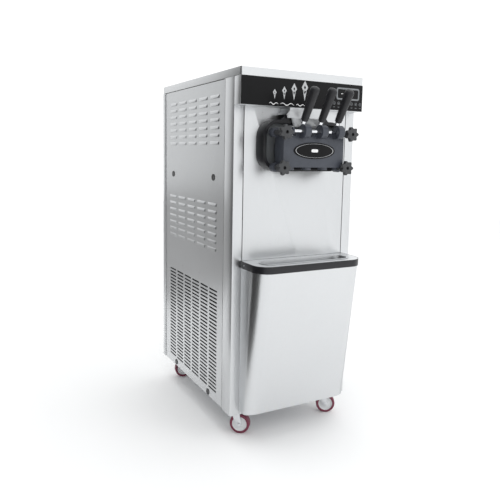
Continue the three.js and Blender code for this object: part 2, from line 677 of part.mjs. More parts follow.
function binShell() {
  const { half, bottom, top, frontTop, frontBottom, radius, wall } = BIN;
  const outside = loft([
    binRing(half, BIN_REAR, frontBottom, radius - 4, bottom),
    binRing(half, BIN_REAR, frontTop, radius, BIN_BREAK),
    binRing(half, BIN_REAR, frontTop, radius, top),
  ]);
  const inside = loft([
    binRing(half - wall, BIN_REAR - wall, frontBottom + wall, radius - 4 - wall, bottom + wall),
    binRing(half - wall, BIN_REAR - wall, frontTop + wall, radius - wall, BIN_BREAK),
    binRing(half - wall, BIN_REAR - wall, frontTop + wall, radius - wall, top + 1),
  ]);
  return outside.subtract(inside);
}

function binRim() {
  const { half, top, frontTop, radius } = BIN;
  const outside = loft([BIN_BREAK, BIN_RIM_TOP].map((z) =>
    binRing(half + 2, BIN_REAR, frontTop - 4, radius + 3, z)));
  const pocket = loft([BIN_BREAK - 1, top + GAP].map((z) =>
    binRing(half + GAP, BIN_REAR + 1, frontTop - GAP, radius, z)));
  const slot = extrudeZ(roundedRect(SLOT.width, SLOT.depth, SLOT.depth / 2, 0, SLOT.y), top - 5, BIN_RIM_TOP + 1, 5);
  return cut(outside, [pocket, slot]);
}

function dripTray() {
  const trough = (inset, z0, z1) => extrudeZ(roundedRect(
    SLOT.width - 2 * inset, SLOT.depth - 2 * inset, SLOT.depth / 2 - inset, 0, SLOT.y), z0, z1, 5);
  const lip = trough(-4, BIN_RIM_TOP + GAP, BIN_RIM_TOP + GAP + 1.5);
  return cut(trough(0.7, TRAY_FLOOR, BIN_RIM_TOP + 1).add(lip), [trough(2.7, TRAY_FLOOR + 2, BIN_RIM_TOP + 5)]);
}

place('bin_shell', binShell(), cabinetSteel);
place('bin_rim', binRim(), black);
place('drip_tray', dripTray(), steel);

// ---- casters ------------------------------------------------------------------------------
// Both caster pieces are made with the swivel on the Z axis and the wheel trailing towards +X.
function casterFork() {
  const crownTop = CABINET_BOTTOM - 4 - GAP;
  const crownBottom = WHEEL.r * 2 + 4;
  const inner = WHEEL.width / 2 + 1.5;
  const leg = polygon([
    [-16, crownTop - 3], [CASTER_TRAIL - 9, WHEEL.r - 4], [CASTER_TRAIL, WHEEL.r - 10],
    [CASTER_TRAIL + 9, WHEEL.r - 4], [18, crownTop - 3],
  ]);
  const legs = [extrudeY(leg, inner, inner + 3), extrudeY(leg, -inner - 3, -inner)];
  const axle = rod([CASTER_TRAIL, -inner - 5, WHEEL.r], [CASTER_TRAIL, inner + 5, WHEEL.r], 4, 12);
  const crown = rodZ(crownBottom + 8, crownTop, 0, 0, 22, 24);
  const body = join([...legs, axle, crown]);
  return cut(body, [rodZ(crownBottom - 10, crownTop + 1, 0, 0, SWIVEL_R + 0.4, 16)]);
}

function casterWheel() {
  const { r, width, bore } = WHEEL;
  return turned(
    [[bore, 0], [r - 4, 0], [r, 4], [r, width - 4], [r - 4, width], [bore, width], [bore, 0]],
    [CASTER_TRAIL, -width / 2, r], [0, 1, 0], 24);
}

Object.entries(CASTERS).forEach(([name, { x, y, turn }]) => {
  const seated = (body) => body.rotate([0, 0, turn]).translate([x, y, 0]);
  place(`caster_fork_${name}`, seated(casterFork()), zinc);
  place(`caster_wheel_${name}`, seated(casterWheel()), tyre);
});

// The frame's origin is under the middle of the whole machine, on the floor.
const bounds = new THREE.Box3().setFromObject(machine);
machine.position.y = -(bounds.min.y + bounds.max.y) / 2;

export default machine;
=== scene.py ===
"""Looks of the floor-standing soft serve machine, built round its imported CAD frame. Metres, front at -Y."""
import json
import math
from contextlib import contextmanager

import bmesh
import bpy
from mathutils import Euler, Matrix, Vector


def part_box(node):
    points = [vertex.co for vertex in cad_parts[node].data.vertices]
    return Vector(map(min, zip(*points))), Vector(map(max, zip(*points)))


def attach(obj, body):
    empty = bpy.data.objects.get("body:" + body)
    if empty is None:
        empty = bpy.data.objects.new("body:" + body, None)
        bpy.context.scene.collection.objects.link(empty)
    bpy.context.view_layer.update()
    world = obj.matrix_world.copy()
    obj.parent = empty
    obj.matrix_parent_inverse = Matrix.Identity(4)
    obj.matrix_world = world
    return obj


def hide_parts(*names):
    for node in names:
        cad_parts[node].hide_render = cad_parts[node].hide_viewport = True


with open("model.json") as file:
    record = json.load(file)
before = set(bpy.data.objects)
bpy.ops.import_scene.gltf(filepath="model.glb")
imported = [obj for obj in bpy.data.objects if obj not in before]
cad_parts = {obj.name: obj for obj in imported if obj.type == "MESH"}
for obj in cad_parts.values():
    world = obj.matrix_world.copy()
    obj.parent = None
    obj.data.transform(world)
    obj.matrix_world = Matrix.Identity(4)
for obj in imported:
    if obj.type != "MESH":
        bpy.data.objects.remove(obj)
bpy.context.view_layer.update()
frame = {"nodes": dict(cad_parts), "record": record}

MM = 0.001
PANEL_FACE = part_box("control_panel")[0].y  # the plane that all front pieces are measured from
UP = Vector((0, 0, 1))


def at(x, y, z):
    """A point in millimetres: y from the control panel's face towards the rear, z from the floor."""
    return Vector((x * MM, PANEL_FACE + y * MM, z * MM))


# ------------------------------------------------------------------ camera, light and floor
CAMERA_PLACE = (-1046.4, -1573.3, 990.2)
CAMERA_YAW = 28.31
CAMERA_DOWN = 7.42
CAMERA_ROLL = 1.07
LENS = 40.1
SHIFT_Y = -0.047


def add_camera():
    yaw, down, roll = (math.radians(a) for a in (CAMERA_YAW, CAMERA_DOWN, CAMERA_ROLL))
    ahead = Vector((math.sin(yaw) * math.cos(down), math.cos(yaw) * math.cos(down), -math.sin(down)))
    level = Vector((math.cos(yaw), -math.sin(yaw), 0))
    right = level * math.cos(roll) + level.cross(ahead) * math.sin(roll)
    matrix = Matrix((right, right.cross(ahead), -ahead)).transposed().to_4x4()
    matrix.translation = at(*CAMERA_PLACE)
    data = bpy.data.cameras.new("view")
    data.sensor_width = 36
    data.lens = LENS
    data.shift_y = SHIFT_Y
    camera = bpy.data.objects.new("view", data)
    bpy.context.scene.collection.objects.link(camera)
    camera.matrix_world = matrix
    bpy.context.scene.camera = camera


def add_area_light(name, place, aim, size, power):
    data = bpy.data.lights.new(name, "AREA")
    data.shape = "DISK"
    data.size = size
    data.energy = power
    lamp = bpy.data.objects.new(name, data)
    bpy.context.scene.collection.objects.link(lamp)
    lamp.location = place
    lamp.rotation_euler = (Vector(aim) - Vector(place)).to_track_quat("-Z", "Y").to_euler()
    lamp.visible_glossy = False


def add_flag(name, level, start, end, height):
    """An upright card that shows only in the gloss of the steel, as a studio flag beside the machine."""
    start, end = Vector(start), Vector(end)
    along = end - start
    middle = (start + end) / 2
    bpy.ops.mesh.primitive_plane_add(
        size=1, location=(middle.x, middle.y, height / 2), rotation=(math.pi / 2, 0, math.atan2(along.y, along.x)))
    card = bpy.context.object
    card.name = name
    card.scale = (along.length, height, 1)
    glow = bpy.data.materials.new(name)
    glow.use_nodes = True
    shader = glow.node_tree.nodes["Principled BSDF"]
    shader.inputs["Base Color"].default_value = (0, 0, 0, 1)
    shader.inputs["Roughness"].default_value = 1
    shader.inputs["Emission Color"].default_value = (level, level, level, 1)
    shader.inputs["Emission Strength"].default_value = 1
    card.data.materials.append(glow)
    card.visible_camera = card.visible_diffuse = card.visible_shadow = False
    card.visible_transmission = card.visible_volume_scatter = False


def studio_world():
    """A plain white backdrop, and a gradient with one dark side that only lights and mirrors in the steel."""
    world = bpy.data.worlds.new("studio")
    world.use_nodes = True
    tree = world.node_tree
    place = tree.nodes.new("ShaderNodeTexCoord")
    facing = tree.nodes.new("ShaderNodeVectorMath")
    facing.operation = "DOT_PRODUCT"
    facing.inputs[1].default_value = Vector((-1, 0.05, -0.5))
    ramp = tree.nodes.new("ShaderNodeValToRGB")
    stops = ((0.0, 1.0), (0.16, 0.93), (0.38, 0.78), (0.62, 0.46), (0.88, 0.12))
    while len(ramp.color_ramp.elements) < len(stops):
        ramp.color_ramp.elements.new(0.5)
    for element, (spot, grey) in zip(ramp.color_ramp.elements, stops):
        element.position = spot
        element.color = (grey * 0.985, grey * 0.995, grey, 1)
    link = tree.links.new
    link(place.outputs["Generated"], facing.inputs[0])
    link(facing.outputs["Value"], ramp.inputs["Fac"])
    ray = tree.nodes.new("ShaderNodeLightPath")
    backdrop = tree.nodes.new("ShaderNodeMix")
    backdrop.data_type = "RGBA"
    backdrop.inputs["B"].default_value = (1, 1, 1, 1)
    link(ray.outputs["Is Camera Ray"], backdrop.inputs["Factor"])
    link(ramp.outputs["Color"], backdrop.inputs["A"])
    link(backdrop.outputs["Result"], tree.nodes["Background"].inputs["Color"])
    tree.nodes["Background"].inputs["Strength"].default_value = 1.18
    return world


def add_studio():
    bpy.context.scene.world = studio_world()
    add_area_light("key", (1.9, -2.8, 2.3), (0, 0, 0.75), 2.2, 26)
    add_area_light("top", (-0.6, 0.4, 3.2), (0, 0, 0.6), 2.4, 12)
    add_flag("dark_flag", 0.035, (-0.75, -0.90), (-0.75, 0.55), 1.6)
    add_flag("grey_flag", 0.42, (-1.9, 1.9), (-0.35, 1.5), 0.75)
    bpy.context.scene.view_settings.view_transform = "Standard"
    bpy.ops.mesh.primitive_plane_add(size=14, location=(0, 2, 0))
    floor = bpy.context.object
    floor.name = "floor"
    paper = bpy.data.materials.new("paper")
    paper.use_nodes = True
    shader = paper.node_tree.nodes["Principled BSDF"]
    shader.inputs["Base Color"].default_value = (0.93, 0.93, 0.93, 1)
    shader.inputs["Roughness"].default_value = 0.7
    floor.data.materials.append(paper)


# ------------------------------------------------------------------ shared surface effects
def new_group(name, inputs, outputs):
    """An empty shader group with named sockets: inputs are (name, kind, value), outputs (name, kind)."""
    tree = bpy.data.node_groups.new(name, "ShaderNodeTree")
    for label, kind, value in inputs:
        socket = tree.interface.new_socket(label, in_out="INPUT", socket_type=kind)
        socket.default_value = value
    for label, kind in outputs:
        tree.interface.new_socket(label, in_out="OUTPUT", socket_type=kind)
    start = tree.nodes.new("NodeGroupInput")
    end = tree.nodes.new("NodeGroupOutput")
    return tree, start, end


def tint_group():
    """Two colours mixed by soft blotches: cloudy handling marks and uneven ageing."""
    tree, start, end = new_group("uneven tint", [
        ("Colour", "NodeSocketColor", (0.8, 0.8, 0.8, 1)),
        ("Darker", "NodeSocketColor", (0.7, 0.7, 0.7, 1)),
        ("Scale", "NodeSocketFloat", 6.0),
        ("Amount", "NodeSocketFloat", 0.3),
    ], [("Colour", "NodeSocketColor"), ("Mask", "NodeSocketFloat")])
    place = tree.nodes.new("ShaderNodeTexCoord")
    noise = tree.nodes.new("ShaderNodeTexNoise")
    noise.inputs["Detail"].default_value = 6
    noise.inputs["Roughness"].default_value = 0.6
    spread = tree.nodes.new("ShaderNodeMapRange")
    spread.inputs["From Min"].default_value = 0.35
    spread.inputs["From Max"].default_value = 0.7
    amount = tree.nodes.new("ShaderNodeMath")
    amount.operation = "MULTIPLY"
    mix = tree.nodes.new("ShaderNodeMix")
    mix.data_type = "RGBA"
    link = tree.links.new
    link(place.outputs["Object"], noise.inputs["Vector"])
    link(start.outputs["Scale"], noise.inputs["Scale"])
    link(noise.outputs["Fac"], spread.inputs["Value"])
    link(spread.outputs["Result"], amount.inputs[0])
    link(start.outputs["Amount"], amount.inputs[1])
    link(amount.outputs[0], mix.inputs["Factor"])
    link(start.outputs["Colour"], mix.inputs["A"])
    link(start.outputs["Darker"], mix.inputs["B"])
    link(mix.outputs["Result"], end.inputs["Colour"])
    link(amount.outputs[0], end.inputs["Mask"])
    return tree


def grain_group():
    """Fine even grain: powder coat's orange peel, or the texture of a moulding tool."""
    tree, start, end = new_group("fine grain", [
        ("Size mm", "NodeSocketFloat", 1.5),
        ("Softness", "NodeSocketFloat", 0.5),
    ], [("Height", "NodeSocketFloat")])
    place = tree.nodes.new("ShaderNodeTexCoord")
    scale = tree.nodes.new("ShaderNodeMath")
    scale.operation = "DIVIDE"
    scale.inputs[0].default_value = 1000.0
    noise = tree.nodes.new("ShaderNodeTexNoise")
    noise.inputs["Detail"].default_value = 2
    link = tree.links.new
    link(start.outputs["Size mm"], scale.inputs[1])
    link(place.outputs["Object"], noise.inputs["Vector"])
    link(scale.outputs[0], noise.inputs["Scale"])
    link(start.outputs["Softness"], noise.inputs["Roughness"])
    link(noise.outputs["Fac"], end.inputs["Height"])
    return tree


def brushed_group():
    """Long fine lines of a brushed sheet, along one direction given as a stretch of the coordinates."""
    tree, start, end = new_group("brushed lines", [
        ("Stretch", "NodeSocketVector", (30.0, 900.0, 900.0)),
    ], [("Height", "NodeSocketFloat"), ("Roughness", "NodeSocketFloat")])
    place = tree.nodes.new("ShaderNodeTexCoord")
    stretch = tree.nodes.new("ShaderNodeVectorMath")
    stretch.operation = "MULTIPLY"
    noise = tree.nodes.new("ShaderNodeTexNoise")
    noise.inputs["Scale"].default_value = 1.0
    noise.inputs["Detail"].default_value = 3
    rough = tree.nodes.new("ShaderNodeMapRange")
    rough.inputs["To Min"].default_value = 0.22
    rough.inputs["To Max"].default_value = 0.42
    link = tree.links.new
    link(place.outputs["Object"], stretch.inputs[0])
    link(start.outputs["Stretch"], stretch.inputs[1])
    link(stretch.outputs[0], noise.inputs["Vector"])
    link(noise.outputs["Fac"], rough.inputs["Value"])
    link(noise.outputs["Fac"], end.inputs["Height"])
    link(rough.outputs["Result"], end.inputs["Roughness"])
    return tree


def wear_group():
    """Edges rubbed a little lighter or darker, broken up so that the line isn't even."""
    tree, start, end = new_group("edge wear", [
        ("Colour", "NodeSocketColor", (0.8, 0.8, 0.8, 1)),
        ("Worn", "NodeSocketColor", (0.9, 0.9, 0.9, 1)),
        ("Amount", "NodeSocketFloat", 0.4),
    ], [("Colour", "NodeSocketColor"), ("Mask", "NodeSocketFloat")])
    shape = tree.nodes.new("ShaderNodeNewGeometry")
    edge = tree.nodes.new("ShaderNodeMapRange")
    edge.inputs["From Min"].default_value = 0.515
    edge.inputs["From Max"].default_value = 0.6
    place = tree.nodes.new("ShaderNodeTexCoord")
    patches = tree.nodes.new("ShaderNodeTexNoise")
    patches.inputs["Scale"].default_value = 90
    broken = tree.nodes.new("ShaderNodeMath")
    broken.operation = "MULTIPLY"
    amount = tree.nodes.new("ShaderNodeMath")
    amount.operation = "MULTIPLY"
    amount.use_clamp = True
    mix = tree.nodes.new("ShaderNodeMix")
    mix.data_type = "RGBA"
    link = tree.links.new
    link(shape.outputs["Pointiness"], edge.inputs["Value"])
    link(place.outputs["Object"], patches.inputs["Vector"])
    link(edge.outputs["Result"], broken.inputs[0])
    link(patches.outputs["Fac"], broken.inputs[1])
    link(broken.outputs[0], amount.inputs[0])
    link(start.outputs["Amount"], amount.inputs[1])
    link(amount.outputs[0], mix.inputs["Factor"])
    link(start.outputs["Colour"], mix.inputs["A"])
    link(start.outputs["Worn"], mix.inputs["B"])
    link(mix.outputs["Result"], end.inputs["Colour"])
    link(amount.outputs[0], end.inputs["Mask"])
    return tree


TINT = tint_group()
GRAIN = grain_group()
BRUSHED = brushed_group()
WEAR = wear_group()


# ------------------------------------------------------------------ materials
def shade(colour, factor):
    return tuple(min(1.0, c * factor) for c in colour[:3]) + (1,)


def put_group(tree, group, **values):
    node = tree.nodes.new("ShaderNodeGroup")
    node.node_tree = group
    for label, value in values.items():
        node.inputs[label.replace("_", " ")].default_value = value
    return node


def coated(name, colour, roughness, metallic=0.0, blotch=6.0, uneven=0.25, darker=0.86, worn=1.12, wear=0.35,
           grain=1.5, bump=0.06, shine=0.5, rough_spread=0.08, brushed=None):
    """A finish with uneven tint, worn edges, roughness that follows the marks, and a grain or brushed bump."""
    material = bpy.data.materials.new(name)
    material.use_nodes = True
    tree = material.node_tree
    link = tree.links.new
    shader = tree.nodes["Principled BSDF"]
    shader.inputs["Metallic"].default_value = metallic
    shader.inputs["Specular IOR Level"].default_value = shine
    base = tuple(colour) + (1,)
    tint = put_group(tree, TINT, Colour=base, Darker=shade(base, darker), Scale=blotch, Amount=uneven)
    edges = put_group(tree, WEAR, Worn=shade(base, worn), Amount=wear)
    link(tint.outputs["Colour"], edges.inputs["Colour"])
    link(edges.outputs["Colour"], shader.inputs["Base Color"])
    rough = tree.nodes.new("ShaderNodeMapRange")
    rough.inputs["To Min"].default_value = roughness
    rough.inputs["To Max"].default_value = min(1.0, roughness + rough_spread)
    link(tint.outputs["Mask"], rough.inputs["Value"])
    raised = tree.nodes.new("ShaderNodeBump")
    raised.inputs["Strength"].default_value = bump
    raised.inputs["Distance"].default_value = 0.0004
    if brushed:
        lines = put_group(tree, BRUSHED, Stretch=brushed)
        link(lines.outputs["Roughness"], shader.inputs["Roughness"])
        link(lines.outputs["Height"], raised.inputs["Height"])
    else:
        link(rough.outputs["Result"], shader.inputs["Roughness"])
        texture = put_group(tree, GRAIN, Size_mm=grain)
        link(texture.outputs["Height"], raised.inputs["Height"])
    link(raised.outputs["Normal"], shader.inputs["Normal"])
    return material


def finned(name, colour, pitch_mm):
    """Thin metal fins across Y, drawn as stripes whose near-black gaps are painted shade."""
    material = coated(name, colour, 0.45, metallic=0.7, uneven=0.4, darker=0.6)
    tree = material.node_tree
    place = tree.nodes.new("ShaderNodeTexCoord")
    wave = tree.nodes.new("ShaderNodeTexWave")
    wave.bands_direction = "Y"
    wave.inputs["Scale"].default_value = 1000 / pitch_mm / 6.28
    shader = tree.nodes["Principled BSDF"]
    # painted shade: near black mixed in between the fins for the shade in their gaps
    dark = tree.nodes.new("ShaderNodeMix")
    dark.data_type = "RGBA"
    dark.inputs["A"].default_value = (0.01, 0.01, 0.01, 1)
    old = shader.inputs["Base Color"].links[0].from_socket
    tree.links.new(place.outputs["Object"], wave.inputs["Vector"])
    tree.links.new(wave.outputs["Fac"], dark.inputs["Factor"])
    tree.links.new(old, dark.inputs["B"])
    tree.links.new(dark.outputs["Result"], shader.inputs["Base Color"])
    return material


CABINET_STEEL = coated("brushed sheet, upright grain", (0.66, 0.67, 0.68), 0.3, metallic=1.0, uneven=0.22,
                       darker=0.92, worn=1.1, wear=0.25, bump=0.05, blotch=3.5, brushed=(900.0, 900.0, 14.0))
RIM_STEEL = coated("brushed sheet, lying grain", (0.70, 0.71, 0.72), 0.3, metallic=1.0, uneven=0.22, darker=0.92,
                   worn=1.1, wear=0.25, bump=0.05, blotch=3.5, brushed=(14.0, 14.0, 900.0))
BLACK_GLOSS = coated("black gloss panel", (0.0055, 0.0055, 0.006), 0.28, shine=0.15, uneven=0.5, darker=1.5,
                     wear=0.1, grain=0.8, bump=0.01, blotch=9)
BLACK_PLASTIC = coated("black moulded plastic", (0.010, 0.010, 0.012), 0.32, shine=0.4, uneven=0.5, darker=1.6, worn=2.5,
                       wear=0.3, grain=0.5, bump=0.12, blotch=22)
GRIP_PLASTIC = coated("black grip plastic", (0.014, 0.014, 0.016), 0.42, shine=0.35, uneven=0.6, darker=1.7, worn=2.5,
                      wear=0.35, grain=0.45, bump=0.2, blotch=30)
GREY_PLASTIC = coated("dark grey moulded plastic", (0.048, 0.053, 0.066), 0.36, shine=0.4, uneven=0.35, darker=0.75, worn=1.7,
                      wear=0.4, grain=0.5, bump=0.10, blotch=18)
# painted shade: the cylinder flange, steel in the machine, gets a flat dark grey that paints the shade it sits in
# inside the collar
FLANGE_SHADE_GREY = coated("cylinder flange, painted shade grey", (0.150, 0.158, 0.165), 0.40, uneven=0.4, darker=0.75, worn=1.5,
                        wear=0.3, grain=0.6, bump=0.08, blotch=14)
KNOB_PLASTIC = coated("knob plastic", (0.052, 0.053, 0.056), 0.48, shine=0.35, uneven=0.5, darker=0.7, worn=1.8,
                      wear=0.4, grain=0.4, bump=0.2, blotch=30)
WHITE_PLASTIC = coated("food-grade white plastic", (0.86, 0.86, 0.84), 0.28, uneven=0.25, darker=0.9, worn=0.9,
                       wear=0.1, grain=0.7, bump=0.04, blotch=25)
STAINLESS = coated("brushed stainless", (0.60, 0.61, 0.62), 0.3, metallic=1.0, uneven=0.35, darker=0.82, worn=1.2,
                   wear=0.3, bump=0.12, blotch=8, brushed=(25.0, 700.0, 700.0))
STAINLESS_LONG = coated("brushed stainless, lengthways", (0.60, 0.61, 0.62), 0.3, metallic=1.0, uneven=0.35,
                        darker=0.82, worn=1.2, wear=0.3, bump=0.12, blotch=8, brushed=(700.0, 25.0, 700.0))
CHROME = coated("polished chrome", (0.82, 0.83, 0.85), 0.08, metallic=1.0, uneven=0.25, darker=0.9, worn=1.0,
                wear=0.1, grain=0.6, bump=0.01, blotch=35, rough_spread=0.1)
ZINC = coated("zinc plate", (0.55, 0.56, 0.58), 0.38, metallic=0.9, uneven=0.6, darker=0.75, worn=1.2,
              wear=0.4, grain=2.5, bump=0.05, blotch=28, rough_spread=0.16)
CASTER_GREY = coated("caster bracket plating", (0.72, 0.73, 0.75), 0.3, metallic=0.75, uneven=0.4, darker=0.8,
                     worn=1.1, wear=0.3, grain=1.2, bump=0.05, blotch=40)
TYRE = coated("wine-coloured tyre", (0.165, 0.022, 0.050), 0.38, uneven=0.6, darker=0.7, worn=1.5, wear=0.3,
              grain=0.8, bump=0.12, blotch=45, rough_spread=0.2)
HUB = coated("light wheel hub", (0.70, 0.71, 0.72), 0.36, uneven=0.4, darker=0.8, worn=0.9, wear=0.2, grain=0.6,
             bump=0.06, blotch=60)
CASTING = coated("black enamelled casting", (0.022, 0.022, 0.024), 0.4, uneven=0.5, darker=1.8, worn=2.5, wear=0.4,
                 grain=1.6, bump=0.25, blotch=20)
RUBBER = coated("belt rubber", (0.018, 0.018, 0.018), 0.7, uneven=0.6, darker=1.7, grain=0.6, bump=0.3, blotch=40)
FINS = finned("cooling fins", (0.50, 0.47, 0.44), 3.0)
PRINT = coated("silver print", (0.50, 0.51, 0.52), 0.4, uneven=0.35, darker=0.7, wear=0, grain=0.5, bump=0.02,
               blotch=60)
PRINT_WHITE = coated("white print", (0.80, 0.80, 0.80), 0.4, uneven=0.2, darker=0.8, wear=0, grain=0.5, bump=0.02,
                     blotch=60)
PRINT_DIM = coated("grey print", (0.20, 0.21, 0.22), 0.4, uneven=0.4, darker=0.6, wear=0, grain=0.5, bump=0.02,
                   blotch=60)
# painted shade: a near black for the sheets and strips that stand in for shade behind the side vents and in the post
# seams
PAINTED_SHADE_BLACK = coated("painted shade black", (0.01, 0.01, 0.011), 0.8, uneven=0.4, darker=1.8, grain=2, bump=0.1, blotch=12)


# ------------------------------------------------------------------ modelling helpers
def only(*objects):
    """Selects these objects and nothing else; the first is active."""
    bpy.ops.object.select_all(action="DESELECT")
    for obj in objects:
        obj.select_set(True)
    bpy.context.view_layer.objects.active = objects[0]


def bake_place(obj):
    only(obj)
    bpy.ops.object.transform_apply(location=True, rotation=True, scale=True)
    return obj


def cuboid(name, low, high):
    bpy.ops.object.select_all(action="DESELECT")
    low, high = Vector(low), Vector(high)
    bpy.ops.mesh.primitive_cube_add(size=1, location=(low + high) / 2, scale=high - low)
    bpy.context.object.name = name
    return bake_place(bpy.context.object)


def drum(name, start, end, radius, sides=48, tip=None):
    """A round bar between two points; tip is its radius at the far end."""
    bpy.ops.object.select_all(action="DESELECT")
    start, end = Vector(start), Vector(end)
    run = end - start
    turn = run.to_track_quat("Z", "Y").to_euler()
    bpy.ops.mesh.primitive_cone_add(vertices=sides, radius1=radius, radius2=radius if tip is None else tip,
                                    depth=run.length, location=(start + end) / 2, rotation=turn)
    bpy.context.object.name = name
    return bake_place(bpy.context.object)


@contextmanager
def editing(obj, mode="FACE"):
    only(obj)
    bpy.ops.object.mode_set(mode="EDIT")
    bpy.ops.mesh.select_mode(type=mode)
    bpy.ops.mesh.select_all(action="DESELECT")
    yield
    bpy.ops.object.mode_set(mode="OBJECT")


def pick_faces(obj, test):
    """In edit mode, selects the faces whose centre and normal pass the test."""
    mesh = bmesh.from_edit_mesh(obj.data)
    for face in mesh.faces:
        face.select_set(bool(test(face.calc_center_median(), face.normal)))
    bmesh.update_edit_mesh(obj.data)


def pick_edges(obj, test):
    """In edit mode, selects the edges whose middle and direction pass the test."""
    mesh = bmesh.from_edit_mesh(obj.data)
    for edge in mesh.edges:
        a, b = (v.co for v in edge.verts)
        edge.select_set(bool(test((a + b) / 2, (b - a).normalized())))
    bmesh.update_edit_mesh(obj.data)


def apply_modifier(obj, kind, **settings):
    only(obj)
    modifier = obj.modifiers.new(kind.lower(), kind)
    for key, value in settings.items():
        setattr(modifier, key, value)
    bpy.ops.object.modifier_apply(modifier=modifier.name)
    return obj


def boolean(obj, operation, *tools):
    for tool in tools:
        apply_modifier(obj, "BOOLEAN", operation=operation, object=tool, solver="EXACT")
        bpy.data.objects.remove(tool)
    return obj


def round_edges(obj, width_mm, segments=2, angle=35):
    """Bevels every edge sharper than the angle."""
    return apply_modifier(obj, "BEVEL", width=width_mm * MM, segments=segments, limit_method="ANGLE",
                          angle_limit=math.radians(angle), use_clamp_overlap=True)


def smooth(obj, angle=35):
    only(obj)
    bpy.ops.object.shade_smooth_by_angle(angle=math.radians(angle))
    return obj


def join(*objects):
    only(*objects)
    bpy.ops.object.join()
    return objects[0]


def twin(obj, name, move=(0, 0, 0)):
    """A copy with a mesh of its own, moved."""
    copy = bpy.data.objects.new(name, obj.data.copy())
    bpy.context.scene.collection.objects.link(copy)
    copy.data.transform(Matrix.Translation(Vector(move)))
    return copy


def mirrored(obj, name):
    """The same piece for the other side of the machine."""
    copy = twin(obj, name)
    copy.data.transform(Matrix.Scale(-1, 4, Vector((1, 0, 0))))
    with editing(copy):
        bpy.ops.mesh.select_all(action="SELECT")
        bpy.ops.mesh.normals_make_consistent(inside=False)
    return copy


def from_cad(node, name=None):
    """A merged copy of a CAD node with its flat faces whole again, ready to be softened."""
    copy = bpy.data.objects.new(name or f"{node}_piece", frame["nodes"][node].data.copy())
    bpy.context.scene.collection.objects.link(copy)
    copy.data.materials.clear()
    with editing(copy):
        bpy.ops.mesh.select_all(action="SELECT")
        bpy.ops.mesh.remove_doubles(threshold=0.00001)
        bpy.ops.mesh.customdata_custom_splitnormals_clear()
        bpy.ops.mesh.dissolve_limited(angle_limit=math.radians(0.4))
    return copy


def done(obj, body, slot, material, *stands_for, extra=()):
    """Finishes a piece: its materials, its body and the CAD nodes it stands for. The slot argument is not used."""
    if material is not None:
        obj.data.materials.clear()
        obj.data.materials.append(material)
    for more in extra:
        obj.data.materials.append(more)
    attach(obj, body)
    if stands_for:
        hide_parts(*stands_for)
    return obj


def soft_copy(node, body, slot, material, width_mm=0.8, segments=2, angle=35):
    """The plain way to finish a CAD node whose shape is right: rounded edges and a real surface."""
    piece = round_edges(from_cad(node), width_mm, segments, angle)
    return done(smooth(piece, angle), body, slot, material, node)


def paint_faces(obj, index, test):
    """Gives the faces that pass the test another of the piece's materials."""
    for face in obj.data.polygons:
        if test(face.center, face.normal):
            face.material_index = index


def screw(name, place, outward, radius_mm=4.0, height_mm=1.6):
    """A cross-head screw: a domed head with its recess cut in."""
    outward = Vector(outward).normalized()
    place = Vector(place)
    head = drum(name, place - outward * MM, place + outward * height_mm * MM, radius_mm * MM, 24,
                tip=radius_mm * 0.72 * MM)
    side = outward.orthogonal().normalized()
    top = place + outward * height_mm * MM
    for along in (side, outward.cross(side)):
        bar = drum("slot", top - along * radius_mm * 0.55 * MM, top + along * radius_mm * 0.55 * MM,
                   radius_mm * 0.16 * MM, 4)
        boolean(head, "DIFFERENCE", bar)
    return smooth(head, 40)


# ------------------------------------------------------------------ cabinet
LOUVRE = {"length": 80, "height": 13, "rise": 2.1, "slot": 6.5}
UPPER_LOUVRES = {"y": (158, 636), "z": (1020, 1176), "columns": 5, "rows": 7}
MIDDLE_LOUVRES = {"y": (173, 640), "z": (648, 806), "columns": 5, "rows": 7}
SLOTS = {"y": (163, 633), "z": (133, 503), "columns": 6, "rows": 28, "length": 67, "height": 6.4}
CAP_SPOTS = ((598, 904), (205, 907), (560, 113), (235, 111))


def grid_steps(area, item_length):
    """First place and pitch along Y and Z for a block of repeated openings, in millimetres."""
    y0, y1 = area["y"]
    z0, z1 = area["z"]
    pitch_y = (y1 - y0 - item_length) / (area["columns"] - 1)
    pitch_z = (z1 - z0) / (area["rows"] - 1)
    return y0, z0, pitch_y, pitch_z


def repeat(obj, columns, rows, pitch_y, pitch_z):
    apply_modifier(obj, "ARRAY", count=columns, use_relative_offset=False, use_constant_offset=True,
                   constant_offset_displace=(0, pitch_y * MM, 0))
    return apply_modifier(obj, "ARRAY", count=rows, use_relative_offset=False, use_constant_offset=True,
                          constant_offset_displace=(0, 0, pitch_z * MM))


def slot_cutter(x_face, y, z, length, height):
    """A slot-shaped plug through the side sheet, with rounded ends."""
    low = at(0, y, z)
    cutter = cuboid("cutter", (x_face - 0.01, low.y, low.z), (x_face + 0.01, low.y + length * MM, low.z + height * MM))
    with editing(cutter, "EDGE"):
        pick_edges(cutter, lambda middle, along: abs(along.x) > 0.9)
        bpy.ops.mesh.bevel(offset=height * 0.42 * MM, segments=3)
    return cutter


def louvre_hood(x_face, y, z):
    """One pressed louvre: a hood that leaves the sheet at its top and stands open at its bottom edge."""
    low = at(0, y, z)
    length, height, rise = (LOUVRE[k] * MM for k in ("length", "height", "rise"))
    hood = cuboid("hood", (x_face - 0.0004, low.y, low.z), (x_face + rise, low.y + length, low.z + height))
    with editing(hood, "EDGE"):
        pick_edges(hood, lambda middle, along: middle.x > x_face + rise * 0.9 and middle.z > low.z + height * 0.9)
        bpy.ops.transform.translate(value=(0, 0, -height * 0.72))
        pick_edges(hood, lambda middle, along: middle.x > x_face + rise * 0.9 and abs(along.y) < 0.5)
        bpy.ops.transform.resize(value=(1, 0.74, 1), center_override=(x_face, low.y + length / 2, low.z))
    with editing(hood):
        pick_faces(hood, lambda centre, normal: normal.x < -0.9 or normal.z < -0.9)
        bpy.ops.mesh.delete(type="FACE")
    apply_modifier(hood, "SOLIDIFY", thickness=0.0007, offset=-1)
    return round_edges(hood, 1.1, 2, 20)


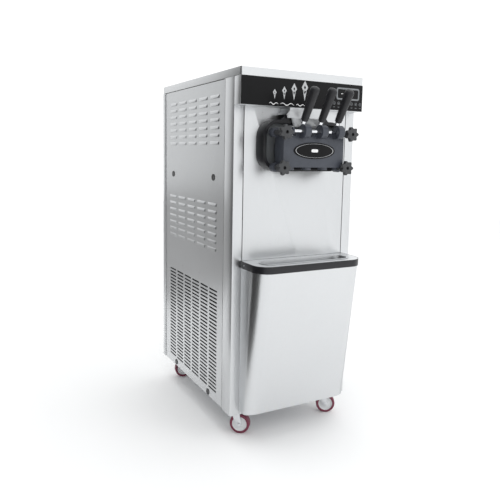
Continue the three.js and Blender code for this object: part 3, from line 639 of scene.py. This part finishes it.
def side_sheet():
    """The right-hand panel: a sheet with two blocks of louvres and a block of slots."""
    low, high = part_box("side_panel_right")
    seam = Vector((0, 0.0016, 0.0016))
    sheet = cuboid("side_panel_right_sheet", low + seam, high - seam)
    hoods = []
    for area in (UPPER_LOUVRES, MIDDLE_LOUVRES):
        y, z, pitch_y, pitch_z = grid_steps(area, LOUVRE["length"])
        opening = slot_cutter(high.x, y + 3, z + 0.5, LOUVRE["length"] - 6, LOUVRE["slot"])
        boolean(sheet, "DIFFERENCE", repeat(opening, area["columns"], area["rows"], pitch_y, pitch_z))
        hoods.append(repeat(louvre_hood(high.x, y, z), area["columns"], area["rows"], pitch_y, pitch_z))
    y, z, pitch_y, pitch_z = grid_steps(SLOTS, SLOTS["length"])
    vents = slot_cutter(high.x, y, z, SLOTS["length"], SLOTS["height"])
    boolean(sheet, "DIFFERENCE", repeat(vents, SLOTS["columns"], SLOTS["rows"], pitch_y, pitch_z))
    return smooth(join(sheet, *hoods), 40)


def hole_cap(y, z):
    """A black push-in cap over a fixing hole in the right side panel."""
    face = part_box("side_panel_right")[1].x
    centre = at(0, y, z)
    cap = drum("cap", (face - 0.001, centre.y, centre.z), (face + 0.002, centre.y, centre.z), 0.0115, 32)
    with editing(cap):
        pick_faces(cap, lambda middle, normal: normal.x > 0.9)
        bpy.ops.mesh.inset(thickness=0.003)
        bpy.ops.transform.translate(value=(-0.0006, 0, 0))
    return smooth(round_edges(cap, 0.7, 3, 30), 40)


def painted_vent_shade(z_low, z_high, name):
    """A black sheet behind a block of side slots, painted shade so that the vents look into the dark."""
    low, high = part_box("side_panel_right")
    shade_sheet = cuboid(name, (low.x - 0.0012, at(0, 150, 0).y, z_low * MM), (low.x - 0.0003, at(0, 655, 0).y, z_high * MM))
    return round_edges(shade_sheet, 0.2, 1)


def build_side_panels():
    right = side_sheet()
    left = mirrored(right, "side_panel_left_sheet")
    done(right, "cabinet", "cabinet_steel", CABINET_STEEL, "side_panel_right")
    done(left, "cabinet", "cabinet_steel", CABINET_STEEL, "side_panel_left")
    caps = join(*[hole_cap(y, z) for y, z in CAP_SPOTS])
    caps.name = "side_caps_right"
    done(mirrored(caps, "side_caps_left"), "cabinet", "black_plastic", BLACK_PLASTIC)
    done(caps, "cabinet", "black_plastic", BLACK_PLASTIC)
    # painted shade: a black sheet behind each block of vents
    for name, low, high in (("upper", 1008, 1186), ("middle", 636, 820), ("lower", 125, 515)):
        shade_sheet = painted_vent_shade(low, high, f"vent_shade_sheet_{name}_right")
        done(mirrored(shade_sheet, f"vent_shade_sheet_{name}_left"), "cabinet", "black_plastic", PAINTED_SHADE_BLACK)
        done(shade_sheet, "cabinet", "black_plastic", PAINTED_SHADE_BLACK)


def front_sheet():
    """The front panel, narrowed by 2 mm at each side so that a dark seam shows beside each post."""
    sheet = from_cad("front_panel")
    low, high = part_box("front_panel")
    middle = (low + high) / 2
    sheet.data.transform(Matrix.Translation((-middle.x, 0, 0)))
    sheet.data.transform(Matrix.Diagonal(Vector((1 - 0.004 / (high.x - low.x), 1, 1, 1))))
    sheet.data.transform(Matrix.Translation((middle.x, 0, 0)))
    done(smooth(round_edges(sheet, 0.7, 3), 35), "cabinet", "cabinet_steel", CABINET_STEEL, "front_panel")


def build_posts():
    """The front posts, each with a groove down its side where the side panel meets it, holding a black strip painted as
    the seam's shade.
    """
    low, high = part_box("front_post_right")
    post = from_cad("front_post_right", "front_post_right_piece")
    seam_low = Vector((high.x - 0.0011, high.y - 0.0034, low.z - 0.001))
    seam_high = Vector((high.x + 0.001, high.y - 0.0016, high.z + 0.001))
    boolean(post, "DIFFERENCE", cuboid("seam", seam_low, seam_high))
    # painted shade: a black strip set in the groove stands in for the shadow line of the seam
    seal = cuboid("post_seam_shade_right", seam_low + Vector((0, 0.0001, 0.002)),
                  (high.x - 0.0004, seam_high.y - 0.0001, high.z - 0.001))
    done(round_edges(seal, 0.2, 2), "cabinet", "black_plastic", PAINTED_SHADE_BLACK)
    done(mirrored(seal, "post_seam_shade_left"), "cabinet", "black_plastic", PAINTED_SHADE_BLACK)
    smooth(round_edges(post, 0.5, 3), 35)
    left = mirrored(post, "front_post_left_piece")
    done(post, "cabinet", "cabinet_steel", CABINET_STEEL, "front_post_right")
    done(left, "cabinet", "cabinet_steel", CABINET_STEEL, "front_post_left")


def build_shell():
    build_posts()
    soft_copy("rear_panel", "cabinet", "cabinet_steel", CABINET_STEEL, 0.5, 2)
    front_sheet()
    soft_copy("control_box", "cabinet", "cabinet_steel", CABINET_STEEL, 0.9, 3)
    soft_copy("top_cover", "cabinet", "cabinet_steel", RIM_STEEL, 1.6, 4)
    soft_copy("base_tray", "cabinet", "zinc_plate", ZINC, 0.8, 2)
    low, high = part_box("rear_panel")
    spots = [(side * 0.215, z) for side in (-1, 1) for z in (0.16, 0.5, 0.86, 1.17)]
    screws = join(*[screw("rear_screws", (x, high.y - 0.0015, z), (0, 1, 0), 4.2, 1.3) for x, z in spots])
    done(screws, "cabinet", "zinc_plate", ZINC)


# ------------------------------------------------------------------ control panel
CONES = ((-118, 1167, 31, 14), (-82, 1167, 42, 17), (-44.5, 1166.5, 55, 21.5), (-3, 1166.5, 66, 25))
PRINT_Y = -0.25  # printed marks stand this far in front of the glass
DISPLAY = {"x": (126, 224), "z": (1180, 1221)}


def flat_mark(name, outline_sides, centre, size, inner=None, turn=0.0):
    """A printed mark: a filled polygon, or a ring when inner is the share of it that stays open."""
    bpy.ops.object.select_all(action="DESELECT")
    bpy.ops.mesh.primitive_circle_add(vertices=outline_sides, radius=1, fill_type="NGON",
                                      rotation=(math.radians(90), turn, 0))
    mark = bake_place(bpy.context.object)
    mark.name = name
    if inner:
        with editing(mark):
            bpy.ops.mesh.select_all(action="SELECT")
            bpy.ops.mesh.inset(thickness=1 - inner)
            bpy.ops.mesh.delete(type="FACE")
    mark.data.transform(Matrix.Diagonal(Vector((size[0] * MM, 1, size[1] * MM, 1))))
    mark.data.transform(Matrix.Translation(at(centre[0], PRINT_Y, centre[1])))
    return apply_modifier(mark, "SOLIDIFY", thickness=0.00015, offset=0)


def cone_picture(x, foot, height, width):
    """A serving drawn as an open kite that stands on a narrow cone."""
    tip = flat_mark("serving", 4, (x, foot + height * 0.67), (width * 0.5, height * 0.33), inner=0.52)
    cup = flat_mark("cup", 3, (x, foot + height * 0.34), (width * 0.33, height * 0.34), turn=math.pi)
    return join(tip, cup)


def wave_line():
    """A flowing line under the pictures, in three strokes that swell and thin out."""
    strokes = []
    for start, length, height in ((-138, 34, 5.0), (-96, 52, 6.0), (-36, 34, 4.5)):
        bpy.ops.object.select_all(action="DESELECT")
        bpy.ops.mesh.primitive_grid_add(x_subdivisions=60, y_subdivisions=1, size=1,
                                        rotation=(math.radians(90), 0, 0))
        stroke = bake_place(bpy.context.object)
        stroke.name = "stroke"
        for vertex in stroke.data.vertices:
            along = vertex.co.x + 0.5
            thick = (0.6 + 0.9 * math.sin(math.pi * along)) * (1 if vertex.co.z > 0 else -1)
            vertex.co = at(start + length * along, PRINT_Y,
                           1152.5 + height * 0.55 * math.sin(1.6 * math.tau * along) + thick)
        strokes.append(apply_modifier(stroke, "SOLIDIFY", thickness=0.00015, offset=0))
    return join(*strokes)


def display_frame():
    """The display: a rounded light frame round a dark window."""
    x0, x1 = DISPLAY["x"]
    z0, z1 = DISPLAY["z"]
    low, high = at(x0, -0.9, z0), at(x1, 0.2, z1)
    rim = cuboid("display_frame", low, high)
    with editing(rim, "EDGE"):
        pick_edges(rim, lambda middle, along: abs(along.y) > 0.9)
        bpy.ops.mesh.bevel(offset=0.008, segments=6)
    window = cuboid("window", low + Vector((0.0055, -0.001, 0.0055)), high + Vector((-0.0055, 0.001, -0.0055)))
    with editing(window, "EDGE"):
        pick_edges(window, lambda middle, along: abs(along.y) > 0.9)
        bpy.ops.mesh.bevel(offset=0.004, segments=5)
    return smooth(round_edges(boolean(rim, "DIFFERENCE", window), 0.3, 2), 40)


def segment_digit(x, z, height, lit):
    """One figure of a seven-segment display; lit names its bars a to g."""
    half = height / 2
    wide = height * 0.26
    bars = {"a": (0, height, 1), "g": (0, half, 1), "d": (0, 0, 1), "f": (-wide, half * 1.5, 0),
            "b": (wide, half * 1.5, 0), "e": (-wide, half * 0.5, 0), "c": (wide, half * 0.5, 0)}
    marks = []
    for name in lit:
        dx, dz, flat = bars[name]
        size = (wide * 0.82, 0.9) if flat else (0.9, half * 0.42)
        mark = cuboid("bar", at(x + dx - size[0], -0.3, z + dz - size[1]), at(x + dx + size[0], -0.05, z + dz + size[1]))
        marks.append(mark)
    return join(*marks)


def key_row():
    """Round touch keys under the display, each with a plain sign in it."""
    signs = []
    for step in range(7):
        x = 118 + step * 18.5
        signs.append(flat_mark("key", 24, (x, 1168), (5.2, 5.2), inner=0.8))
        signs.append(flat_mark("sign", 3 + step % 4, (x, 1168), (2.2, 2.2)))
        signs.append(cuboid("caption", at(x - 4, -0.3, 1154), at(x + 4, -0.1, 1155.6)))
    return join(*signs)


def build_control_panel():
    soft_copy("control_panel", "cabinet", "black_glass", BLACK_GLOSS, 0.8, 3)
    pictures = join(*[cone_picture(*cone) for cone in CONES])
    pictures.name = "cone_pictures"
    done(pictures, "cabinet", "black_glass", PRINT)
    waves = wave_line()
    waves.name = "wave_line"
    done(waves, "cabinet", "black_glass", PRINT_WHITE)
    done(display_frame(), "cabinet", "black_glass", PRINT_DIM)
    x0, x1 = DISPLAY["x"]
    figures = join(*[segment_digit(x0 + 24 + step * 17, 1190, 21, lit)
                     for step, lit in enumerate(("g", "bc", "abcdef"))])
    figures.name = "display_figures"
    done(figures, "cabinet", "black_glass", PRINT_WHITE)
    keys = key_row()
    keys.name = "touch_keys"
    done(keys, "cabinet", "black_glass", PRINT_DIM)


# ------------------------------------------------------------------ dispensing head
HANDLE_SPACING = 65
HEADS = (-HANDLE_SPACING, 0, HANDLE_SPACING)
PIVOT = (-78, 1065)  # y and z of the pin that the handles turn on
LEAN = math.radians(31)
BORE_SHIFT = -15
BORE_Y = -38
KNOB_SPOTS = {"knob_top_left": (-127, 1060), "knob_top_right": (127, 1060),
              "knob_bottom_left": (-123, 949), "knob_bottom_right": (123, 949)}


def rounded_slab(name, low, high, radius_mm, axis="y", segments=8):
    """A slab with its four edges along one axis rounded."""
    slab = cuboid(name, low, high)
    index = "xyz".index(axis)
    with editing(slab, "EDGE"):
        pick_edges(slab, lambda middle, along: abs(along[index]) > 0.9)
        bpy.ops.mesh.bevel(offset=radius_mm * MM, segments=segments, profile=0.5)
    return slab


def build_collar():
    """The black collar: a deep rounded frame, its front edge rolled, open in the middle."""
    low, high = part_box("collar")
    top = at(0, 0, 1102).z
    collar = rounded_slab("collar_frame", low, (high.x, high.y, top), 55, "y", 14)
    with editing(collar):
        pick_faces(collar, lambda centre, normal: normal.y < -0.9)
        bpy.ops.mesh.inset(thickness=0.0015)
    hollow = rounded_slab("hollow", low + Vector((0.0105, -0.01, 0.0105)),
                          (high.x - 0.0105, high.y + 0.01, top - 0.0105), 44, "y", 14)
    boolean(collar, "DIFFERENCE", hollow)
    for x, z in KNOB_SPOTS.values():
        boolean(collar, "DIFFERENCE", drum("hole", at(x, -20, z), at(x, 60, z), 0.0047, 24))
    round_edges(collar, 3.0, 4, 40)
    guard = cuboid("guard", at(-97, -4, 1098), at(97, 0, 1120))
    with editing(guard, "EDGE"):
        pick_edges(guard, lambda middle, along: middle.z > at(0, 0, 1118).z and abs(along.y) < 0.5)
        bpy.ops.transform.resize(value=(77 / 97, 1, 1), center_override=(0, 0, 1.120))
    round_edges(guard, 0.8, 2)
    done(smooth(join(collar, guard), 40), "cabinet", "black_plastic", BLACK_PLASTIC, "collar")
    soft_copy("cylinder_flange", "cabinet", "grey_plastic", FLANGE_SHADE_GREY, 0.5, 2, 40)
    soft_copy("switch_cover", "cabinet", "stainless", STAINLESS, 0.5, 2)


def head_body():
    """The dispensing block: one moulding with ears, lugs and nozzles, then its bores."""
    body = rounded_slab("dispensing_block_piece", at(-117, -62, 950), at(117, -8, 1062), 16, "y", 8)
    boss = rounded_slab("boss", at(-108, -10, 954), at(108, 13.7, 1052), 40, "y", 10)
    parts = [boss]
    for x, z in KNOB_SPOTS.values():
        parts.append(drum("ear", at(x, -30, z), at(x, -8.5, z), 0.015, 40))
        inward = math.copysign(101, x)
        upright = 1046 if z > 1006 else 966
        parts.append(cuboid("web", at(min(x, inward), -29.5, min(z, upright)), at(max(x, inward), -9, max(z, upright))))
    for centre in HEADS:
        y, z = PIVOT
        parts.append(drum("lug", at(centre + 6, y, z), at(centre + 28, y, z), 0.022, 64))
        parts.append(cuboid("lug_root", at(centre + 6.2, y, z - 21.9), at(centre + 27.8, -50, z + 10)))
        parts.append(drum("nozzle", at(centre + BORE_SHIFT, BORE_Y, 941), at(centre + BORE_SHIFT, BORE_Y, 953), 0.016, 40))
    parts.append(drum("end_lug", at(-100, *PIVOT), at(-94.5, *PIVOT), 0.012, 40))
    parts.append(cuboid("end_root", at(-99.9, PIVOT[0], PIVOT[1] - 11.9), at(-94.6, -50, PIVOT[1] + 6)))
    boolean(body, "UNION", *parts)
    round_edges(body, 1.6, 3, 40)
    tools = [drum("pin_hole", at(-120, *PIVOT), at(120, *PIVOT), 0.0055, 24)]
    for centre in HEADS:
        x = centre + BORE_SHIFT
        tools.append(drum("bore", at(x, BORE_Y, 930), at(x, BORE_Y, 1085), 0.012, 40))
        tools.append(cuboid("finger_slot", at(x - 7, -64, 1050), at(x + 7, BORE_Y, 1072)))
    for x, z in KNOB_SPOTS.values():
        tools.append(drum("stud_hole", at(x, -60, z), at(x, 0, z), 0.0045, 20))
    boolean(body, "DIFFERENCE", *tools)
    return smooth(body, 40)


def build_badge():
    """The oval plate with its raised ring, and one plain lozenge in its middle."""
    low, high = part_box("badge_plate")
    centre = (low + high) / 2
    plate = drum("badge", (centre.x, high.y, centre.z), (centre.x, low.y, centre.z), 1.0, 96)
    plate.data.transform(Matrix.Translation(-centre))
    plate.data.transform(Matrix.Diagonal(Vector(((high.x - low.x) / 2, 1, (high.z - low.z) / 2, 1))))
    plate.data.transform(Matrix.Translation(centre))
    round_edges(plate, 0.6, 3)
    done(smooth(plate, 40), "cabinet", "black_plastic", BLACK_GLOSS, "badge_plate")
    ring = drum("badge_ring", (0, low.y + 0.0002, 0), (0, low.y - 0.0006, 0), 1.0, 96)
    hole = drum("hole", (0, low.y + 0.01, 0), (0, low.y - 0.01, 0), 0.972, 96)
    boolean(ring, "DIFFERENCE", hole)
    ring.data.transform(Matrix.Diagonal(Vector((0.0735, 1, 0.0225, 1))))
    ring.data.transform(Matrix.Translation((0, 0, centre.z)))
    done(smooth(ring, 40), "cabinet", "chrome", PRINT)
    lozenge = rounded_slab("badge_marks", at(-13, -64.8, 1004 - 5), at(13, -64.2, 1004 + 5), 4.5, "y", 6)
    done(smooth(lozenge, 40), "cabinet", "white_plastic", PRINT_WHITE).name = "badge_marks"


def star_knob(name, spot):
    """A seven-lobed hand knob with a round hollow in its face and a long sleeve."""
    x, z = spot
    low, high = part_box(name)
    face = low.y
    head = drum(name + "_piece", (0, face + 0.014, 0), (0, face, 0), 0.0212, 112)
    for vertex in head.data.vertices:
        angle = math.atan2(vertex.co.z, vertex.co.x)
        reach = 1 + 0.15 * math.cos(7 * angle)
        vertex.co.x *= reach
        vertex.co.z *= reach
    boolean(head, "UNION", drum("shoulder", (0, face + 0.013, 0), (0, face + 0.017, 0), 0.0125, 48),
            drum("sleeve", (0, face + 0.016, 0), (0, high.y, 0), 0.0085, 48))
    round_edges(head, 1.8, 3, 40)
    boolean(head, "DIFFERENCE", drum("hollow", (0, face - 0.002, 0), (0, face + 0.009, 0), 0.0055, 32),
            drum("thread", (0, face + 0.012, 0), (0, high.y + 0.002, 0), 0.0045, 24))
    head.data.transform(Matrix.Translation((x * MM, 0, z * MM)))
    return done(smooth(head, 40), name, "grey_plastic", KNOB_PLASTIC, name)


def handle_point(x, distance):
    """A point on the handle's own line, at a distance from its pivot."""
    return at(x, PIVOT[0] - math.sin(LEAN) * distance, PIVOT[1] + math.cos(LEAN) * distance)


def grip(index, centre):
    """The black grip: it swells towards a rounded top, with a shallow groove round its foot."""
    x = centre - 1
    profile = ((0, 9.5), (0.6, 10.8), (3, 11.8), (5, 11.2), (7, 12.0), (40, 12.9), (80, 14.2), (98, 15.0),
               (104, 14.6), (109, 12.0), (111.4, 7.5), (112, 3.0))
    bpy.ops.object.select_all(action="DESELECT")
    bpy.ops.mesh.primitive_circle_add(vertices=40, radius=profile[0][1] * MM, fill_type="NGON")
    piece = bake_place(bpy.context.object)
    piece.name = f"grip_{index}_piece"
    previous = profile[0]
    with editing(piece):
        bpy.ops.mesh.select_all(action="SELECT")
        bpy.ops.mesh.flip_normals()
        for distance, radius in profile[1:]:
            bpy.ops.mesh.extrude_region_move(TRANSFORM_OT_translate={"value": (0, 0, (distance - previous[0]) * MM)})
            share = radius / previous[1]
            bpy.ops.transform.resize(value=(share, share, 1), center_override=(0, 0, distance * MM))
            previous = (distance, radius)
        bpy.ops.mesh.select_all(action="SELECT")
        bpy.ops.mesh.normals_make_consistent(inside=False)
    boolean(piece, "DIFFERENCE", drum("socket", (0, 0, -0.001), (0, 0, 0.071), 0.0053, 24))
    piece.data.transform(Matrix.Rotation(LEAN, 4, "X"))
    piece.data.transform(Matrix.Translation(handle_point(x, 38)))
    smooth(piece, 30)
    return done(piece, f"handle_{index}", "black_plastic", GRIP_PLASTIC, f"grip_{index}")


def lever(index, centre):
    """The chromed lever: a hub on the pin, the stem with its lock nut, and the finger that lifts the piston."""
    hub = drum(f"lever_{index}_piece", at(centre - 20, *PIVOT), at(centre + 3.5, *PIVOT), 0.011, 48)
    stem = drum("stem", handle_point(centre - 1, 4), handle_point(centre - 1, 108), 0.005, 28)
    finger = cuboid("finger", at(centre + BORE_SHIFT - 4, PIVOT[0], PIVOT[1] - 4),
                    at(centre + BORE_SHIFT + 4, BORE_Y + 1, PIVOT[1] + 4))
    cheek = rounded_slab("cheek", handle_point(centre - 17, 2) - Vector((0, 0.006, 0)),
                         handle_point(centre + 2, 26) + Vector((0, 0.004, 0)), 5, "x", 4)
    nut = drum("nut", handle_point(centre - 1, 28), handle_point(centre - 1, 36.5), 0.0088, 6)
    boolean(hub, "UNION", stem, finger, cheek)
    round_edges(hub, 0.8, 2, 40)
    boolean(hub, "DIFFERENCE", drum("pin_hole", at(centre - 40, *PIVOT), at(centre + 12, *PIVOT), 0.0055, 24))
    round_edges(nut, 0.6, 2, 30)
    return done(smooth(join(hub, nut), 40), f"handle_{index}", "chrome", CHROME, f"lever_{index}")


def piston(index, centre):
    """The white piston with two seal grooves, and its pocket for the lever's finger."""
    x = centre + BORE_SHIFT
    rod = drum(f"piston_{index}_piece", at(x, BORE_Y, 950), at(x, BORE_Y, 1080), 0.0115, 48)
    grooves = []
    for z in (957, 1038):
        ring = drum("groove", at(x, BORE_Y, z), at(x, BORE_Y, z + 3), 0.014, 48)
        boolean(ring, "DIFFERENCE", drum("core", at(x, BORE_Y, z - 1), at(x, BORE_Y, z + 4), 0.0102, 48))
        grooves.append(ring)
    pocket = cuboid("pocket", at(x - 13, BORE_Y - 13, 1054), at(x + 13, BORE_Y + 2.5, 1073))
    boolean(rod, "DIFFERENCE", *grooves, pocket)
    round_edges(rod, 0.7, 2, 40)
    return done(smooth(rod, 40), f"piston_{index}", "white_plastic", WHITE_PLASTIC, f"piston_{index}")


def build_head():
    build_collar()
    done(head_body(), "cabinet", "grey_plastic", GREY_PLASTIC, "dispensing_block")
    build_badge()
    soft_copy("pivot_pin", "cabinet", "stainless", CHROME, 0.8, 2, 45)
    for name, spot in KNOB_SPOTS.items():
        star_knob(name, spot)
    for index, centre in enumerate(HEADS, start=1):
        grip(index, centre)
        lever(index, centre)
        piston(index, centre)


# ------------------------------------------------------------------ bin
BIN_BREAK = 613
SLOT = {"width": 340, "depth": 65, "y": -26}


def bin_form(name, half, front_low, front_high, z_low, z_high, radius, rear=44.7):
    """The bin's outline as a solid: square at the rear, rounded in front, its front sloping between two heights."""
    form = cuboid(name, at(-half, front_high, z_low), at(half, rear, z_high))
    with editing(form, "EDGE"):
        pick_edges(form, lambda middle, along: abs(along.z) > 0.9 and middle.y < at(0, 0, 0).y)
        bpy.ops.mesh.bevel(offset=radius * MM, segments=14)
    depth = front_high - rear
    for vertex in form.data.vertices:
        if vertex.co.z < at(0, 0, z_low + 1).z:
            share = (vertex.co.y - at(0, rear, 0).y) / (depth * MM)
            vertex.co.y = at(0, rear + (front_low - rear) * share, 0).y
    return form


def build_bin():
    shell = bin_form("bin_shell_piece", 206, -8, -84, 112, BIN_BREAK, 50)
    collar = bin_form("collar", 206, -84, -84, BIN_BREAK, 631.4, 50)
    boolean(shell, "UNION", collar)
    cavity = bin_form("cavity", 203, -5, -81, 115, BIN_BREAK + 0.1, 47, 41.7)
    mouth = bin_form("mouth", 203, -81, -81, BIN_BREAK, 640, 47, 41.7)
    boolean(shell, "DIFFERENCE", cavity, mouth)
    round_edges(shell, 2.2, 4, 35)
    done(smooth(shell, 40), "bin", "cabinet_steel", CABINET_STEEL, "bin_shell")
    rim = bin_form("bin_rim_piece", 208, -88, -88, BIN_BREAK, 637, 53)
    hollow = bin_form("hollow", 206.3, -84.3, -84.3, BIN_BREAK - 1, 631.7, 50.3, 46)
    opening = rounded_slab("opening", at(-SLOT["width"] / 2, SLOT["y"] - SLOT["depth"] / 2, 620),
                           at(SLOT["width"] / 2, SLOT["y"] + SLOT["depth"] / 2, 650), 32.4, "z", 14)
    plate = bin_form("bin_top_plate", 206.4, -86.4, -86.4, 635.2, 636.9, 51.4, 43.1)
    recess = bin_form("recess", 206.5, -86.5, -86.5, 635.1, 640, 51.5, 43.2)
    boolean(rim, "DIFFERENCE", hollow, twin(opening, "opening"), recess)
    round_edges(rim, 0.5, 3, 35)
    done(smooth(rim, 40), "bin", "black_plastic", BLACK_PLASTIC, "bin_rim")
    boolean(plate, "DIFFERENCE", opening)
    round_edges(plate, 0.45, 2, 35)
    done(smooth(plate, 40), "bin", "stainless", RIM_STEEL)
    screws = join(*[screw("bin_screws", at(side * 208, 20, 625), (side, 0, 0), 3.2, 1.0) for side in (-1, 1)])
    done(screws, "bin", "zinc_plate", ZINC)


def build_drip_tray():
    """The lift-out tray: a stadium-shaped trough with a rolled lip and drain holes in its floor."""
    low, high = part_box("drip_tray")
    half_x, half_y = SLOT["width"] / 2, SLOT["depth"] / 2
    middle = SLOT["y"]

    def stadium(name, inset, z0, z1):
        return rounded_slab(name, at(-half_x + inset, middle - half_y + inset, z0),
                            at(half_x - inset, middle + half_y - inset, z1), half_y - inset - 0.1, "z", 14)

    trough = stadium("drip_tray_piece", 0.7, 598, 638.5)
    boolean(trough, "UNION", stadium("lip", -4, 637.3, 638.8))
    boolean(trough, "DIFFERENCE", stadium("inside", 2.7, 600, 650))
    for step in range(9):
        x = (step - 4) * 30
        boolean(trough, "DIFFERENCE", drum("drain", at(x, middle, 590), at(x, middle, 605), 0.004, 20))
    round_edges(trough, 0.6, 3, 35)
    done(smooth(trough, 40), "drip_tray", "stainless", STAINLESS, "drip_tray")


# ------------------------------------------------------------------ casters
WHEEL_WIDTH = 0.026


def wheel_axle(corner):
    """Where a caster's wheel turns: its centre, and the direction of its axle."""
    joint = next(j for j in frame["record"]["behaviour"]["joints"] if j["name"] == f"caster_roll_{corner}")
    return Vector(joint["pos_m"]), Vector(joint["axis"]).normalized()


def caster_wheel(corner):
    """A tyre on a light hub: the hub's face is dished, with a raised boss round the axle."""
    node = f"caster_wheel_{corner}"
    low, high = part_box(node)
    centre, axle = wheel_axle(corner)
    radius = (high.z - low.z) / 2
    reach = axle * WHEEL_WIDTH / 2
    wheel = drum(node + "_piece", centre - reach, centre + reach, radius, 72)
    for side in (axle, -axle):
        with editing(wheel, "EDGE"):
            pick_edges(wheel, lambda middle, along: (middle - centre).dot(side) > reach.length * 0.9)
            bpy.ops.mesh.bevel(offset=0.0038, segments=4)
        with editing(wheel):
            pick_faces(wheel, lambda middle, normal: normal.dot(side) > 0.98 and (middle - centre).length < 0.014)
            bpy.ops.mesh.inset(thickness=0.0062)
            bpy.ops.mesh.inset(thickness=0.0016)
            bpy.ops.transform.translate(value=-side * 0.0024)
            bpy.ops.mesh.inset(thickness=0.0015)
            bpy.ops.transform.translate(value=-side * 0.0008)
            bpy.ops.mesh.inset(thickness=0.0095)
            bpy.ops.transform.translate(value=-side * 0.0006)
            bpy.ops.mesh.inset(thickness=0.0015)
            bpy.ops.transform.translate(value=side * 0.0026)
    boolean(wheel, "DIFFERENCE", drum("bore", centre - reach * 1.5, centre + reach * 1.5, 0.0045, 24))
    round_edges(wheel, 0.4, 2, 50)
    smooth(wheel, 40)
    done(wheel, node, "wine_tyre", TYRE, node, extra=(HUB,))

    def on_hub(middle, normal):
        out = middle - centre
        return (out - axle * out.dot(axle)).length < radius - 0.0098

    paint_faces(wheel, 1, on_hub)


def caster_fork(corner):
    """The bracket: a crown with its bearing race, two tapered legs and the axle nuts."""
    node = f"caster_fork_{corner}"
    piece = round_edges(from_cad(node), 0.7, 2, 30)
    centre, axle = wheel_axle(corner)
    parts = []
    for side in (axle, -axle):
        foot = centre + side * (WHEEL_WIDTH / 2 + 0.0043)
        nut = drum("nut", foot, foot + side * 0.0040, 0.0064, 6)
        parts.append(round_edges(nut, 0.5, 2, 30))
    done(smooth(join(piece, *parts), 35), node, "zinc_plate", CASTER_GREY, node)


# ------------------------------------------------------------------ top and inside
def build_lids():
    """Hopper lids: pressed steel with a raised field and a bar handle on two feet."""
    for side in ("left", "right"):
        node = f"hopper_lid_{side}"
        piece = from_cad(node)
        with editing(piece):
            low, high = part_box(node)
            pick_faces(piece, lambda centre, normal: normal.z > 0.9 and centre.z < high.z - 0.002
                       and centre.z > high.z - 0.010)
            bpy.ops.mesh.inset(thickness=0.012)
            bpy.ops.transform.translate(value=(0, 0, -0.0015))
        round_edges(piece, 1.2, 3, 35)
        done(smooth(piece, 40), node, "stainless", STAINLESS_LONG, node)


def build_inside():
    soft_copy("equipment_deck", "cabinet", "zinc_plate", ZINC, 0.6)
    soft_copy("electrical_box", "cabinet", "zinc_plate", ZINC, 1.5, 3)
    for side in ("left", "right"):
        soft_copy(f"hopper_{side}", "cabinet", "stainless", STAINLESS_LONG, 0.6, 2)
        soft_copy(f"freezing_cylinder_{side}", "cabinet", "stainless", STAINLESS_LONG, 0.8, 2)
        soft_copy(f"air_tube_{side}", "cabinet", "white_plastic", WHITE_PLASTIC, 0.4, 2)
        soft_copy(f"beater_{side}", f"beater_{side}", "white_plastic", WHITE_PLASTIC, 0.5, 2, 50)
    soft_copy("gearbox", "cabinet", "zinc_plate", ZINC, 3.0, 4)
    soft_copy("gearbox_pulley", "gearbox_pulley", "zinc_plate", ZINC, 1.0, 3)
    soft_copy("motor_pulley", "motor_pulley", "zinc_plate", ZINC, 1.0, 3)
    soft_copy("motor", "cabinet", "dark_casting", CASTING, 2.0, 3)
    soft_copy("compressor", "cabinet", "dark_casting", CASTING, 3.0, 4, 28)
    soft_copy("drive_belt", "cabinet", "belt_rubber", RUBBER, 0.6, 2)
    soft_copy("condenser", "cabinet", "cooling_fins", FINS, 0.6, 1, 45)
    soft_copy("fan", "fan", "black_plastic", BLACK_PLASTIC, 0.5, 2, 45)


add_camera()
add_studio()
build_side_panels()
build_shell()
build_control_panel()
build_head()
build_bin()
build_drip_tray()
for corner in ("front_left", "front_right", "rear_left", "rear_right"):
    caster_fork(corner)
    caster_wheel(corner)
build_lids()
build_inside()
